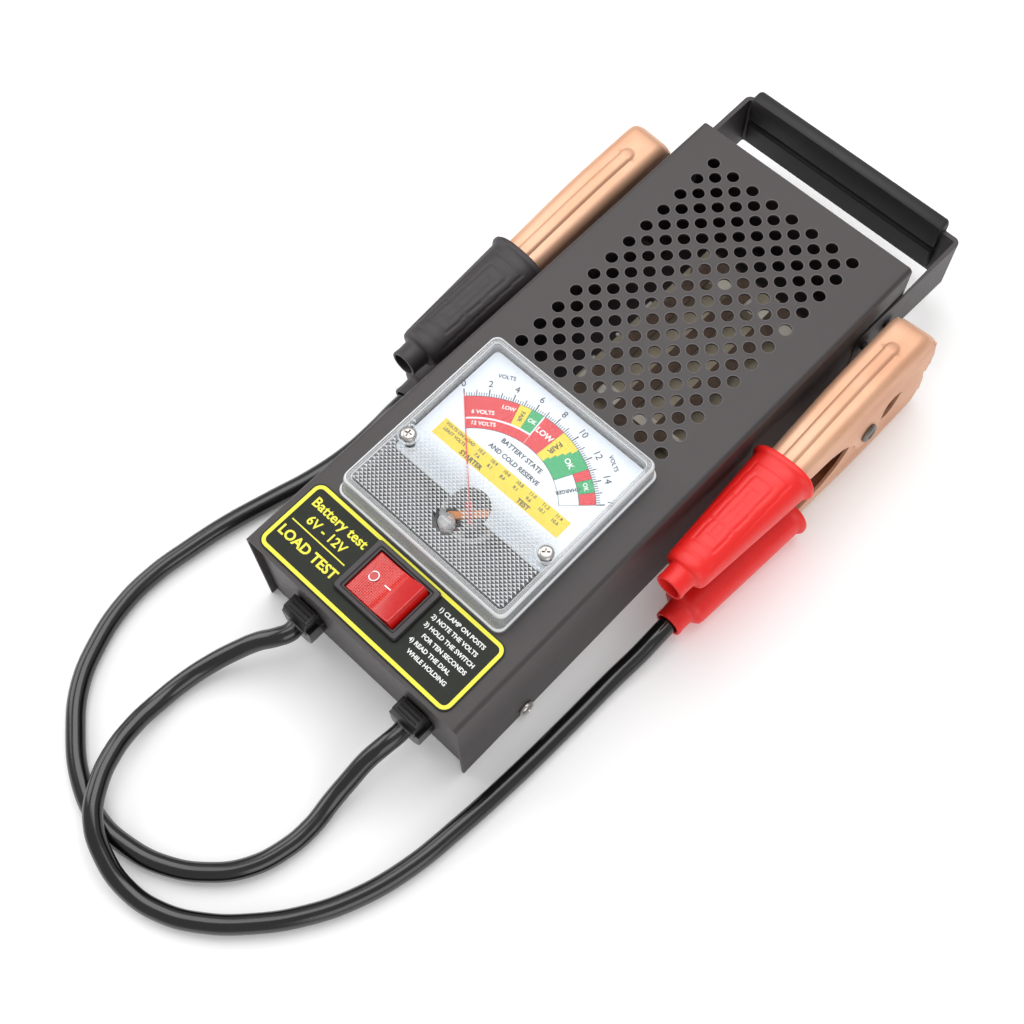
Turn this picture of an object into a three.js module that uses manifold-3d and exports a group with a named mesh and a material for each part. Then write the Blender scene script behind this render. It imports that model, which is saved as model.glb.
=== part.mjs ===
// Analogue load tester for 6 V and 12 V car batteries, in millimetres, +Z up.
// A folded steel case holds a moving-coil voltmeter, a rocker switch and a ribbon
// load resistor. Two short leads end in copper battery clamps beside the case.
import * as THREE from 'three';
import { mergeVertices } from 'three/addons/utils/BufferGeometryUtils.js';
import Module from 'manifold-3d';

const wasm = await Module();
wasm.setup();

// ---- Driving dimensions -------------------------------------------------

const gap = 0.3;                 // clearance between pieces that touch
const originBehindCase = 16;     // object centre lies this far behind the case centre

const caseHalfWidth = 52.8;
const caseHalfLength = 126;
const caseHeight = 54;
const sheet = 1.0;
const bendRadius = 2.2;
const faceX = -1.2;              // centre line of everything fitted to the face

const frontWallY = -123.5;
const rearWallY = 125;
const trayHalfWidth = caseHalfWidth - sheet - gap;
const trayLipHeight = 14;
const trayWallHeight = 52;

const ventPitchX = 10;
const ventPitchY = 10.2;
const ventRadius = 2.6;
const ventColumns = 8;
const ventRows = 12;
const firstVentX = faceX - 3.5 * ventPitchX;
const firstVentY = 0.4;

const coverScrewY = 93;
const coverScrewZ = 5;
const coverScrewHole = 1.9;

const strapThickness = 2.0;
const strapOuterX = caseHalfWidth + gap + strapThickness;
const strapRearY = 161;
const strapFrontY = 96;
const strapLowZ = 12;
const strapHighZ = 38;
const strapScrewYs = [104, 118];
const strapScrewZ = 25;
const strapScrewHole = 2.3;

const gripLeftX = -51;
const gripRightX = 47;
const gripFrontY = 156.3;
const gripRearY = 163.6;
const gripLowZ = 15;
const gripHighZ = 43;

const labelLow = [-49.2, -124.2];
const labelHigh = [45.7, -92.0];
const labelZ = caseHeight + gap;
const labelThickness = 0.3;

const switchX = -0.7;
const switchY = -105.7;
const switchPivotZ = 52.2;
const switchRestTilt = 10;       // degrees, load end of the rocker stands up
const bezelSize = [31.3, 24.1, 1.8];
const switchBody = [27.4, 21.2];
const switchBodyLowZ = 35;
const rockerWidth = 18.3;
const rockerAxleRadius = 1.5;

const meterY = -48.2;
const meterBase = { x: 81.8, lowY: -91.3, highY: -7.0 };
const meterTop = { x: 79, lowY: -88.5, highY: -8.0 };
const meterBaseZ = caseHeight + gap;
const meterTopZ = 64;
const meterWall = 1.8;
const meterScrewX = 33.9;
const meterScrewY = -60.0;
const zeroY = -74.9;
const barrelRadius = 29.5;
const barrelLowZ = 30;
const dialZ = 56.6;
const dialFrontY = -64.8;
const dialArch = 8;
const pivotY = -63.8;
const pointerZ = 58.6;
const pointerLength = 40;
const pointerRestAngle = 135;    // degrees from +X, zero volts

const boardLow = [-22, -6];
const boardHigh = [46, 98];
const boardZ = 22;
const ribbonZ = 30.3;
const ribbonXs = [-13, 4, 21, 38];
const ribbonWidth = 7;
const postY = 1;

const reliefX = 28.7;
const reliefZ = 16.5;
const reliefFaceY = -131.6;
const cableRadius = 3.75;

const clampX = 69.3;
const clampPivot = [74, 24.7];   // y and z of the clamp's rivet
const clampLean = 5;             // degrees, tops lean towards the case
const clampSheet = 1.3;
const clampHalfHeight = 24;
const upperHalfWidth = 9;
const lowerHalfWidth = 7.4;
const handleEndV = -91;
const bootMouthV = -41;
const bootShoulderV = -99;
const nozzleEndV = -107;
const nozzleW = 16.5;
const nozzleRadius = 5.7;
const nozzleBore = cableRadius + 0.5;
const pinRadius = 2.4;

// ---- Shape helpers ------------------------------------------------------

function toSolid(geometry) {
  const bare = geometry.clone();
  bare.deleteAttribute('normal');
  bare.deleteAttribute('uv');
  const merged = mergeVertices(bare);
  return new wasm.Manifold(new wasm.Mesh({
    numProp: 3,
    vertProperties: merged.attributes.position.array,
    triVerts: new Uint32Array(merged.index.array),
  }));
}

function toGeometry(solid) {
  const mesh = solid.getMesh();
  const geometry = new THREE.BufferGeometry();
  geometry.setAttribute('position', new THREE.BufferAttribute(mesh.vertProperties, 3));
  geometry.setIndex(new THREE.BufferAttribute(mesh.triVerts, 1));
  geometry.computeVertexNormals();
  return geometry;
}

function join(...geometries) {
  return toGeometry(geometries.map(toSolid).reduce((whole, part) => whole.add(part)));
}

function cut(geometry, ...tools) {
  return toGeometry(tools.map(toSolid).reduce((left, tool) => left.subtract(tool), toSolid(geometry)));
}

function common(first, second) {
  return toGeometry(toSolid(first).intersect(toSolid(second)));
}

// A box between two corners.
function block(low, high) {
  const size = low.map((value, i) => high[i] - value);
  const box = new THREE.BoxGeometry(...size);
  box.translate(...low.map((value, i) => value + size[i] / 2));
  return box;
}

// A round rod along one axis, centred on the other two.
function rod(axis, radius, from, to, at, sides = 12) {
  const shape = new THREE.CylinderGeometry(radius, radius, to - from, sides);
  const middle = (from + to) / 2;
  if (axis === 'x') {
    shape.rotateZ(-Math.PI / 2);
    shape.translate(middle, at[0], at[1]);
  } else if (axis === 'y') {
    shape.translate(at[0], middle, at[1]);
  } else {
    shape.rotateX(Math.PI / 2);
    shape.translate(at[0], at[1], middle);
  }
  return shape;
}

function outline(points) {
  return new THREE.Shape(points.map(([x, y]) => new THREE.Vector2(x, y)));
}

function roundedRect(low, high, radius) {
  const shape = new THREE.Shape();
  shape.absarc(high[0] - radius, high[1] - radius, radius, 0, Math.PI / 2);
  shape.absarc(low[0] + radius, high[1] - radius, radius, Math.PI / 2, Math.PI);
  shape.absarc(low[0] + radius, low[1] + radius, radius, Math.PI, Math.PI * 1.5);
  shape.absarc(high[0] - radius, low[1] + radius, radius, Math.PI * 1.5, Math.PI * 2);
  return shape;
}

function extrude(shape, depth, curveSegments = 3) {
  return new THREE.ExtrudeGeometry(shape, { depth, bevelEnabled: false, curveSegments });
}

function extrudeZ(shape, from, to, curveSegments) {
  const solid = extrude(shape, to - from, curveSegments);
  solid.translate(0, 0, from);
  return solid;
}

// The outline is drawn in X and Z.
function extrudeY(shape, from, to, curveSegments) {
  const solid = extrude(shape, to - from, curveSegments);
  solid.rotateX(Math.PI / 2);
  solid.translate(0, to, 0);
  return solid;
}

// The outline is drawn in Y and Z.
function extrudeX(shape, from, to, curveSegments) {
  const solid = extrude(shape, to - from, curveSegments);
  solid.rotateZ(Math.PI / 2);
  solid.rotateY(Math.PI / 2);
  solid.translate(from, 0, 0);
  return solid;
}

// A closed skin through equal rings of points, capped at both ends.
function loft(rings) {
  const sides = rings[0].length;
  const positions = rings.flat(2);
  const index = [];
  for (let ring = 0; ring + 1 < rings.length; ring += 1) {
    for (let side = 0; side < sides; side += 1) {
      const a = ring * sides + side;
      const b = ring * sides + (side + 1) % sides;
      index.push(a, b, b + sides, a, b + sides, a + sides);
    }
  }
  const last = (rings.length - 1) * sides;
  for (let side = 1; side + 1 < sides; side += 1) {
    index.push(0, side + 1, side);
    index.push(last, last + side, last + side + 1);
  }
  const skin = new THREE.BufferGeometry();
  skin.setAttribute('position', new THREE.Float32BufferAttribute(positions, 3));
  skin.setIndex(index);
  return skin;
}

// Rounded-rectangle ring at a height, from corner points of four arcs.
function rectRing(low, high, radius, z) {
  return roundedRect(low, high, radius).getPoints(3)
    .filter((point, i, all) => i === 0 || point.distanceTo(all[i - 1]) > 1e-6)
    .filter((point, i, all) => i < all.length - 1 || point.distanceTo(all[0]) > 1e-6)
    .map((point) => [point.x, point.y, z]);
}

// A round cord along hand-placed points.
function tube(points, radius, sides, steps) {
  const route = new THREE.CatmullRomCurve3(points.map((p) => new THREE.Vector3(...p)), false, 'centripetal');
  const section = new THREE.Shape();
  for (let side = 0; side < sides; side += 1) {
    const angle = side / sides * Math.PI * 2;
    const x = radius * Math.cos(angle);
    const y = radius * Math.sin(angle);
    if (side === 0) section.moveTo(x, y);
    else section.lineTo(x, y);
  }
  section.closePath();
  return new THREE.ExtrudeGeometry(section, { steps, extrudePath: route, bevelEnabled: false });
}

// ---- Materials ----------------------------------------------------------

function material(color, roughness, metalness, opacity = 1) {
  return new THREE.MeshStandardMaterial({
    color, roughness, metalness, opacity, transparent: opacity < 1,
  });
}

const paint = material(0x625a5c, 0.55, 0.3);
const wallPaint = material(0x8f8789, 0.55, 0.3);
const blackPlastic = material(0x2d2a2c, 0.6, 0);
const blackRubber = material(0x242224, 0.75, 0);
const clearPlastic = material(0xdfe4ea, 0.1, 0, 0.35);
const whiteCard = material(0xeef3fa, 0.5, 0);
const redPointer = material(0xd02a20, 0.4, 0);
const redPlastic = material(0xd81818, 0.2, 0);
const labelFilm = material(0x353d35, 0.5, 0);
const zinc = material(0xb9b9b9, 0.35, 0.9);
const brass = material(0xc9a24a, 0.35, 0.9);
const enamelledCopper = material(0xb05a28, 0.4, 0.7);
const iron = material(0x6a6c70, 0.5, 0.8);
const fibreBoard = material(0xb8a98c, 0.85, 0);
const ceramic = material(0xe4dccb, 0.6, 0);
const oxidisedRibbon = material(0x7a4a30, 0.6, 0.6);
const cordJacket = material(0x1d1b1c, 0.45, 0);
const leadJacket = material(0x9a1f1c, 0.5, 0);
const copperPlate = material(0xdeaa8c, 0.35, 0.85);
const springSteel = material(0x7d7a76, 0.4, 0.9);
const redVinyl = material(0xf03a30, 0.5, 0);
const blackVinyl = material(0x3c383a, 0.6, 0);

// ---- Scene graph --------------------------------------------------------

const tester = new THREE.Group();
const unit = new THREE.Group();
unit.position.y = -originBehindCase;
tester.add(unit);

function place(name, geometry, finish, parent = unit) {
  const mesh = new THREE.Mesh(geometry, finish);
  mesh.name = name;
  parent.add(mesh);
  return mesh;
}

// ---- Case ---------------------------------------------------------------

function ventCentres() {
  const centres = [];
  for (let row = 0; row < ventRows; row += 1) {
    for (let column = 0; column < ventColumns; column += 1) {
      centres.push([firstVentX + column * ventPitchX, firstVentY + row * ventPitchY]);
      if (row + 1 < ventRows && column + 1 < ventColumns) {
        centres.push([firstVentX + (column + 0.5) * ventPitchX, firstVentY + (row + 0.5) * ventPitchY]);
      }
    }
  }
  return centres;
}

function topCover() {
  const inner = bendRadius - sheet;
  const top = caseHeight - bendRadius;
  const side = caseHalfWidth - bendRadius;
  const section = new THREE.Shape();
  section.moveTo(caseHalfWidth, 0);
  section.absarc(side, top, bendRadius, 0, Math.PI / 2);
  section.absarc(-side, top, bendRadius, Math.PI / 2, Math.PI);
  section.lineTo(-caseHalfWidth, 0);
  section.lineTo(-caseHalfWidth + sheet, 0);
  section.absarc(-side, top, inner, Math.PI, Math.PI / 2, true);
  section.absarc(side, top, inner, Math.PI / 2, 0, true);
  section.lineTo(caseHalfWidth - sheet, 0);
  const below = caseHeight - sheet * 2;
  const above = caseHeight + sheet;
  const cutouts = ventCentres().map((at) => rod('z', ventRadius, below, above, at, 6));
  cutouts.push(rod('z', barrelRadius + 1, below, above, [faceX, meterY], 24));
  cutouts.push(block(
    [switchX - switchBody[0] / 2 - gap, switchY - switchBody[1] / 2 - gap, below],
    [switchX + switchBody[0] / 2 + gap, switchY + switchBody[1] / 2 + gap, above],
  ));
  const reach = caseHalfWidth + sheet;
  for (const y of [-coverScrewY, coverScrewY]) {
    cutouts.push(rod('x', coverScrewHole, -reach, reach, [y, coverScrewZ], 8));
  }
  for (const y of strapScrewYs) {
    cutouts.push(rod('x', strapScrewHole, -reach, reach, [y, strapScrewZ], 8));
  }
  return cut(extrudeY(section, -caseHalfLength, caseHalfLength), ...cutouts);
}

function baseTray() {
  const w = trayHalfWidth;
  const walls = [
    block([-w, frontWallY, 0], [w, frontWallY + sheet, trayWallHeight]),
    block([-w, rearWallY - sheet, 0], [w, rearWallY, trayWallHeight]),
    block([-w, frontWallY, 0], [-w + sheet, rearWallY, trayLipHeight]),
    block([w - sheet, frontWallY, 0], [w, rearWallY, trayLipHeight]),
  ];
  const floor = block([-w, frontWallY, 0], [w, rearWallY, sheet]);
  const openings = [];
  for (let slot = 0; slot < 5; slot += 1) {
    const y = 16 + slot * 18;
    openings.push(block([-32, y, -1], [32, y + 5, sheet * 2]));
  }
  for (const x of [-reliefX, reliefX]) {
    openings.push(rod('y', 8, frontWallY - 1, frontWallY + 2, [x, reliefZ], 12));
  }
  for (const y of [-coverScrewY, coverScrewY]) {
    openings.push(rod('x', coverScrewHole, -w - 1, w + 1, [y, coverScrewZ], 8));
  }
  return cut(join(floor, ...walls), ...openings);
}

// Pan-head screw along X; the head stands outside the wall on the given side.
function sideScrew(side, headFaceX, headRadius, headHeight, shankRadius, tipX, y, z) {
  const head = rod('x', headRadius, headFaceX, headFaceX + headHeight, [y, z], 12);
  const shank = rod('x', shankRadius, tipX, headFaceX + headHeight / 2, [y, z], 8);
  const screw = join(head, shank);
  if (side < 0) {
    screw.translate(0, -y, 0);
    screw.rotateZ(Math.PI);
    screw.translate(0, y, 0);
  }
  return screw;
}

function strapScrew(side, y) {
  const screw = sideScrew(side, strapOuterX + gap, 4.2, 2.0, 1.9, 47, y, strapScrewZ);
  const nutOuter = caseHalfWidth - sheet - gap;
  const nutXs = side > 0 ? [nutOuter - 3, nutOuter] : [-nutOuter, -nutOuter + 3];
  return join(screw, rod('x', 4, nutXs[0], nutXs[1], [y, strapScrewZ], 6));
}

place('top_cover', topCover(), paint);
place('base_tray', baseTray(), wallPaint);
for (const [sideName, side] of [['left', -1], ['right', 1]]) {
  for (const [endName, y] of [['front', -coverScrewY], ['rear', coverScrewY]]) {
    const screw = sideScrew(side, caseHalfWidth + gap, 3.3, 2.0, 1.6, 48, y, coverScrewZ);
    place(`cover_screw_${sideName}_${endName}`, screw, zinc);
  }
  place(`handle_screw_${sideName}_front`, strapScrew(side, strapScrewYs[0]), zinc);
  place(`handle_screw_${sideName}_rear`, strapScrew(side, strapScrewYs[1]), zinc);
}

function labelPlate() {
  const film = extrudeZ(roundedRect(labelLow, labelHigh, 4), labelZ, labelZ + labelThickness);
  return cut(film, block(
    [switchX - switchBody[0] / 2 - gap, switchY - switchBody[1] / 2 - gap, labelZ - 1],
    [switchX + switchBody[0] / 2 + gap, switchY + switchBody[1] / 2 + gap, labelZ + 1],
  ));
}

place('label_plate', labelPlate(), labelFilm);

// ---- Handle -------------------------------------------------------------

function handleStrap() {
  const outer = 3;
  const x = strapOuterX;
  const t = strapThickness;
  const plan = new THREE.Shape();
  plan.moveTo(x, strapFrontY);
  plan.absarc(x - outer, strapRearY - outer, outer, 0, Math.PI / 2);
  plan.absarc(-x + outer, strapRearY - outer, outer, Math.PI / 2, Math.PI);
  plan.lineTo(-x, strapFrontY);
  plan.lineTo(-x + t, strapFrontY);
  plan.absarc(-x + outer, strapRearY - outer, outer - t, Math.PI, Math.PI / 2, true);
  plan.absarc(x - outer, strapRearY - outer, outer - t, Math.PI / 2, 0, true);
  plan.lineTo(x - t, strapFrontY);
  const holes = strapScrewYs.map((y) => rod('x', strapScrewHole, -x - 1, x + 1, [y, strapScrewZ], 8));
  return cut(extrudeZ(plan, strapLowZ, strapHighZ, 4), ...holes);
}

// The grip is a moulded channel pushed down over the strap's rear bar.
function handleGrip() {
  const slotFront = strapRearY - strapThickness - gap;
  const slotRear = strapRearY + gap;
  const slotTop = strapHighZ + gap;
  const grooveDepth = 1.6;
  const section = outline([
    [slotRear, gripLowZ], [gripRearY - 1, gripLowZ], [gripRearY, gripLowZ + 1],
    [gripRearY, gripHighZ - 2], [gripRearY - 2, gripHighZ],
    [gripFrontY + 1.2, gripHighZ], [gripFrontY, gripHighZ - 1.2],
    [gripFrontY, 30], [gripFrontY + grooveDepth, 29.5], [gripFrontY + grooveDepth, 27.7],
    [gripFrontY, 27.2], [gripFrontY, gripLowZ + 1], [gripFrontY + 1, gripLowZ],
    [slotFront, gripLowZ], [slotFront, slotTop], [slotRear, slotTop],
  ]);
  return extrudeX(section, gripLeftX, gripRightX);
}

place('handle_strap', handleStrap(), paint);
place('handle_grip', handleGrip(), blackRubber);

// ---- Meter --------------------------------------------------------------

function meterRing(part, inset, z) {
  const half = part.x / 2 - inset;
  return rectRing([faceX - half, part.lowY + inset], [faceX + half, part.highY - inset], 3.4 - inset / 2, z);
}

function meterCover() {
  const outer = loft([
    meterRing(meterBase, 0, meterBaseZ),
    meterRing(meterBase, 0.2, meterBaseZ + 2.2),
    meterRing(meterTop, 0, meterTopZ - 0.6),
    meterRing(meterTop, 0.6, meterTopZ),
  ]);
  const inner = loft([
    meterRing(meterBase, meterWall, meterBaseZ - 1),
    meterRing(meterTop, meterWall, meterTopZ - meterWall),
  ]);
  const openings = [rod('z', 3.6, meterBaseZ, meterTopZ + 1, [faceX, zeroY], 12)];
  for (const side of [-1, 1]) {
    const at = [faceX + side * meterScrewX, meterScrewY];
    openings.push(rod('z', 1.9, meterBaseZ, meterTopZ + 1, at, 8));
    openings.push(rod('z', 3.4, meterTopZ - 1, meterTopZ + 1, at, 12));
  }
  return cut(outer, inner, ...openings);
}

function meterHousing() {
  const plate = extrudeZ(
    roundedRect([faceX - 38.2, -87.2], [faceX + 38.2, -9.8], 3),
    meterBaseZ, dialZ - gap,
  );
  const barrel = rod('z', barrelRadius, barrelLowZ, meterBaseZ + 1, [faceX, meterY], 24);
  const well = rod('z', barrelRadius - 2, barrelLowZ + 2, dialZ + 1, [faceX, meterY], 24);
  const screwHoles = [-1, 1].map((side) => rod(
    'z', 1.9, meterBaseZ - 1, dialZ + 1, [faceX + side * meterScrewX, meterScrewY], 8,
  ));
  return cut(join(plate, barrel), well, ...screwHoles);
}

// The dial is open round the movement, as an arch from the front edge.
function meterDial() {
  const plate = extrudeZ(
    roundedRect([faceX - 37.4, dialFrontY], [faceX + 37.4, -10.2], 2),
    dialZ, dialZ + 0.5,
  );
  const arch = rod('z', dialArch, dialZ - 1, dialZ + 1, [faceX, pivotY], 20);
  const mouth = block([faceX - dialArch, dialFrontY - 1, dialZ - 1], [faceX + dialArch, pivotY, dialZ + 1]);
  const screwHoles = [-1, 1].map((side) => rod(
    'z', 2.2, dialZ - 1, dialZ + 1, [faceX + side * meterScrewX, meterScrewY], 8,
  ));
  return cut(plate, arch, mouth, ...screwHoles);
}

// Ring magnet with its soft-iron core, held by a bridge clear of the coil's sweep.
function meterMagnet() {
  const at = [faceX, pivotY];
  const low = barrelLowZ + 2 + gap;
  const ring = cut(rod('z', 11.4, low, 50, at, 20), rod('z', 9.2, low - 1, 51, at, 20));
  const core = rod('z', 4, 36.5, 47.5, at, 12);
  const bridge = block([faceX - 1.5, pivotY - 10, 40], [faceX + 1.5, pivotY + 10, 44]);
  return join(ring, core, bridge);
}

function meterCoil() {
  const frame = cut(
    block([-8, -1.5, 34], [8, 1.5, 51]),
    block([-6, -2, 35.6], [6, 2, 49.4]),
  );
  frame.rotateZ(THREE.MathUtils.degToRad(pointerRestAngle - 90));
  frame.translate(faceX, pivotY, 0);
  return frame;
}

function meterPointer() {
  const thickness = 0.5;
  const blade = extrudeZ(outline([
    [-9, -1.2], [-9, 1.2], [0, 1.6], [6, 0.7], [pointerLength, 0.3],
    [pointerLength, -0.3], [6, -0.7], [0, -1.6],
  ]), pointerZ, pointerZ + thickness);
  const hub = rod('z', 2.6, pointerZ - 0.6, pointerZ + 1.1, [0, 0], 12);
  const spindle = rod('z', 0.8, 51 + gap, pointerZ, [0, 0], 8);
  const pointer = join(blade, hub, spindle);
  pointer.rotateZ(THREE.MathUtils.degToRad(pointerRestAngle));
  pointer.translate(faceX, pivotY, 0);
  return pointer;
}

function meterScrew(side) {
  const at = [faceX + side * meterScrewX, meterScrewY];
  const head = rod('z', 3.0, meterTopZ - 1 + gap, meterTopZ + 0.9, at, 12);
  const shank = rod('z', 1.5, meterBaseZ + 0.3, meterTopZ, at, 8);
  return join(head, shank);
}

function zeroAdjuster() {
  const head = rod('z', 3.2, 60.5, meterTopZ + 0.7, [0, 0], 16);
  const slot = block([-4, -0.5, meterTopZ - 0.4], [4, 0.5, meterTopZ + 2]);
  const pin = rod('z', 0.8, 59.8, 61, [0, 1.6], 8);
  const adjuster = join(cut(head, slot), pin);
  adjuster.translate(faceX, zeroY, 0);
  return adjuster;
}

function meterStud(side) {
  const at = [faceX + side * 12, meterY + 6];
  const nut = rod('z', 4.6, barrelLowZ - gap - 4, barrelLowZ - gap, at, 6);
  return join(nut, rod('z', 2.5, barrelLowZ - 11, barrelLowZ - 1, at, 10));
}

place('meter_cover', meterCover(), clearPlastic);
place('meter_housing', meterHousing(), blackPlastic);
place('meter_dial', meterDial(), whiteCard);
place('meter_magnet', meterMagnet(), iron);
place('meter_coil', meterCoil(), enamelledCopper);
place('meter_pointer', meterPointer(), redPointer);
place('zero_adjuster', zeroAdjuster(), clearPlastic);
for (const [sideName, side] of [['left', -1], ['right', 1]]) {
  place(`meter_screw_${sideName}`, meterScrew(side), zinc);
  place(`meter_stud_${sideName}`, meterStud(side), brass);
}

// ---- Load switch --------------------------------------------------------

function switchHousing() {
  const [bezelX, bezelY, bezelHeight] = bezelSize;
  const low = labelZ + labelThickness + gap;
  const flange = extrudeZ(
    roundedRect([switchX - bezelX / 2, switchY - bezelY / 2], [switchX + bezelX / 2, switchY + bezelY / 2], 1.5),
    low, low + bezelHeight,
  );
  const body = block(
    [switchX - switchBody[0] / 2, switchY - switchBody[1] / 2, switchBodyLowZ],
    [switchX + switchBody[0] / 2, switchY + switchBody[1] / 2, low + 0.5],
  );
  const well = block(
    [switchX - 12.3, switchY - rockerWidth / 2 - gap, 43],
    [switchX + 12.3, switchY + rockerWidth / 2 + gap, low + 3],
  );
  const axleHole = rod(
    'y', rockerAxleRadius + 0.4, switchY - bezelY, switchY + bezelY, [switchX, switchPivotZ], 12,
  );
  return cut(join(flange, body), well, axleHole);
}

// Two-way rocker drawn about its axle, then tilted to its rest position.
function switchRocker() {
  const half = rockerWidth / 2;
  const paddle = extrudeY(outline([
    [-10.9, 5.0], [-5.5, 3.7], [0, 3.1], [5.5, 3.7], [10.9, 5.0], [11.9, 0.5],
    [11.2, -4], [5, -7], [-5, -7], [-11.2, -4], [-11.9, 0.5],
  ]), -half, half);
  const axle = rod('y', rockerAxleRadius, -half - 1, half + 1, [0, 0], 12);
  const rocker = join(paddle, axle);
  rocker.rotateY(-THREE.MathUtils.degToRad(switchRestTilt));
  rocker.translate(switchX, switchY, switchPivotZ);
  return rocker;
}

function switchTerminal(side) {
  const x = switchX + side * 7;
  return block([x - 0.4, switchY - 3.2, 25], [x + 0.4, switchY + 3.2, switchBodyLowZ - gap]);
}

place('switch_housing', switchHousing(), blackPlastic);
place('switch_rocker', switchRocker(), redPlastic);
place('switch_terminal_supply', switchTerminal(-1), brass);
place('switch_terminal_load', switchTerminal(1), brass);

// ---- Load resistor ------------------------------------------------------

function loadBoard() {
  const legs = [];
  for (const x of [boardLow[0] + 6, boardHigh[0] - 6]) {
    for (const y of [boardLow[1] + 6, boardHigh[1] - 4]) {
      legs.push(rod('z', 3, sheet + gap, boardZ + 1, [x, y], 8));
    }
  }
  return join(block([...boardLow, boardZ], [...boardHigh, boardZ + 2]), ...legs);
}

function loadBar(y) {
  const low = boardZ + 2 + gap;
  return block([boardLow[0] + 3, y, low], [boardHigh[0] - 3, y + 6, ribbonZ - gap]);
}

// Flat resistance ribbon folded into parallel runs.
function loadRibbon() {
  const half = ribbonWidth / 2;
  const thickness = 0.8;
  const frontY = 8;
  const rearY = 94;
  const runs = ribbonXs.map((x, i) => {
    const ends = i === 0 || i === ribbonXs.length - 1 ? -4 : frontY;
    return block([x - half, ends, ribbonZ], [x + half, rearY, ribbonZ + thickness]);
  });
  const bridges = ribbonXs.slice(1).map((x, i) => {
    const y = i % 2 === 0 ? rearY - 6 : frontY;
    return block([ribbonXs[i] - half, y, ribbonZ], [x + half, y + 6, ribbonZ + thickness]);
  });
  const holes = [ribbonXs[0], ribbonXs.at(-1)].map((x) => rod('z', 2.8, ribbonZ - 1, ribbonZ + 2, [x, postY], 8));
  return cut(join(...runs, ...bridges), ...holes);
}

function loadPost(x) {
  const at = [x, postY];
  const head = rod('z', 4.4, boardZ + 2 + gap, ribbonZ - gap, at, 6);
  const nut = rod('z', 4.4, ribbonZ + 0.8 + gap, ribbonZ + 5, at, 6);
  return join(head, nut, rod('z', 2.5, boardZ + 3, ribbonZ + 8, at, 8));
}

place('load_board', loadBoard(), fibreBoard);
place('load_bar_front', loadBar(14), ceramic);
place('load_bar_rear', loadBar(82), ceramic);
place('load_ribbon', loadRibbon(), oxidisedRibbon);
place('load_post_supply', loadPost(ribbonXs[0]), zinc);
place('load_post_return', loadPost(ribbonXs.at(-1)), zinc);

// ---- Wiring inside the case ---------------------------------------------

const reliefInnerY = -118.7;

const leadStart = reliefInnerY;
const leadEndZ = ribbonZ + 3.2;
const leadEndY = postY - 5.1;

place('lead_supply', tube([
  [-reliefX, leadStart, reliefZ], [-reliefX, leadStart + 3, reliefZ], [-26.5, -110, 13.5],
  [-20, -105.5, 10], [-12.5, -104.6, 11.5], [-8.5, -105.4, 17.5], [-7.7, switchY, 22], [-7.7, switchY, 24.6],
], 2, 8, 18), leadJacket);
place('lead_load', tube([
  [6.3, switchY, 24.6], [6.3, switchY, 21], [7.6, -102.5, 12.5], [8, -88, 8], [2, -60, 8], [-6, -32, 11],
  [-12, -20, 22], [ribbonXs[0], -13, 32.2], [ribbonXs[0], -8, leadEndZ], [ribbonXs[0], leadEndY, leadEndZ],
], 2, 8, 26), leadJacket);
place('lead_return', tube([
  [reliefX, leadStart, reliefZ], [reliefX, leadStart + 3, reliefZ], [30.5, -106, 12], [35, -88, 8],
  [38, -50, 8], [38.4, -26, 16], [ribbonXs.at(-1), -14, 31.6], [ribbonXs.at(-1), -8, leadEndZ],
  [ribbonXs.at(-1), leadEndY, leadEndZ],
], 2, 8, 26), cordJacket);
place('meter_lead_plus', tube([
  [faceX - 12, meterY + 6, 18.6], [faceX - 12, meterY + 6, 15], [faceX - 12.6, meterY - 2, 10],
  [-14, -70, 9], [-13, -90, 14], [-10.5, -101, 24], [-9.6, switchY + 1, 29],
], 1, 6, 20), leadJacket);
place('meter_lead_minus', tube([
  [faceX + 12, meterY + 6, 18.6], [faceX + 12, meterY + 6, 15], [faceX + 13.5, meterY + 13, 11],
  [22, -24, 14], [33, -10, 34], [37, -2, 42], [ribbonXs.at(-1), postY, 41.5],
  [ribbonXs.at(-1), postY, ribbonZ + 8.6],
], 1, 6, 22), cordJacket);

// ---- Strain reliefs and outer cables ------------------------------------

function strainRelief(x) {
  const halfWidth = 7.9;
  const head = extrudeY(
    roundedRect([x - halfWidth, reliefZ - 11.6], [x + halfWidth, reliefZ + 10], 5),
    reliefFaceY, frontWallY - gap,
  );
  const neck = rod('y', 7.6, frontWallY - 1, reliefInnerY - gap, [x, reliefZ], 12);
  return join(head, neck);
}

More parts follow.
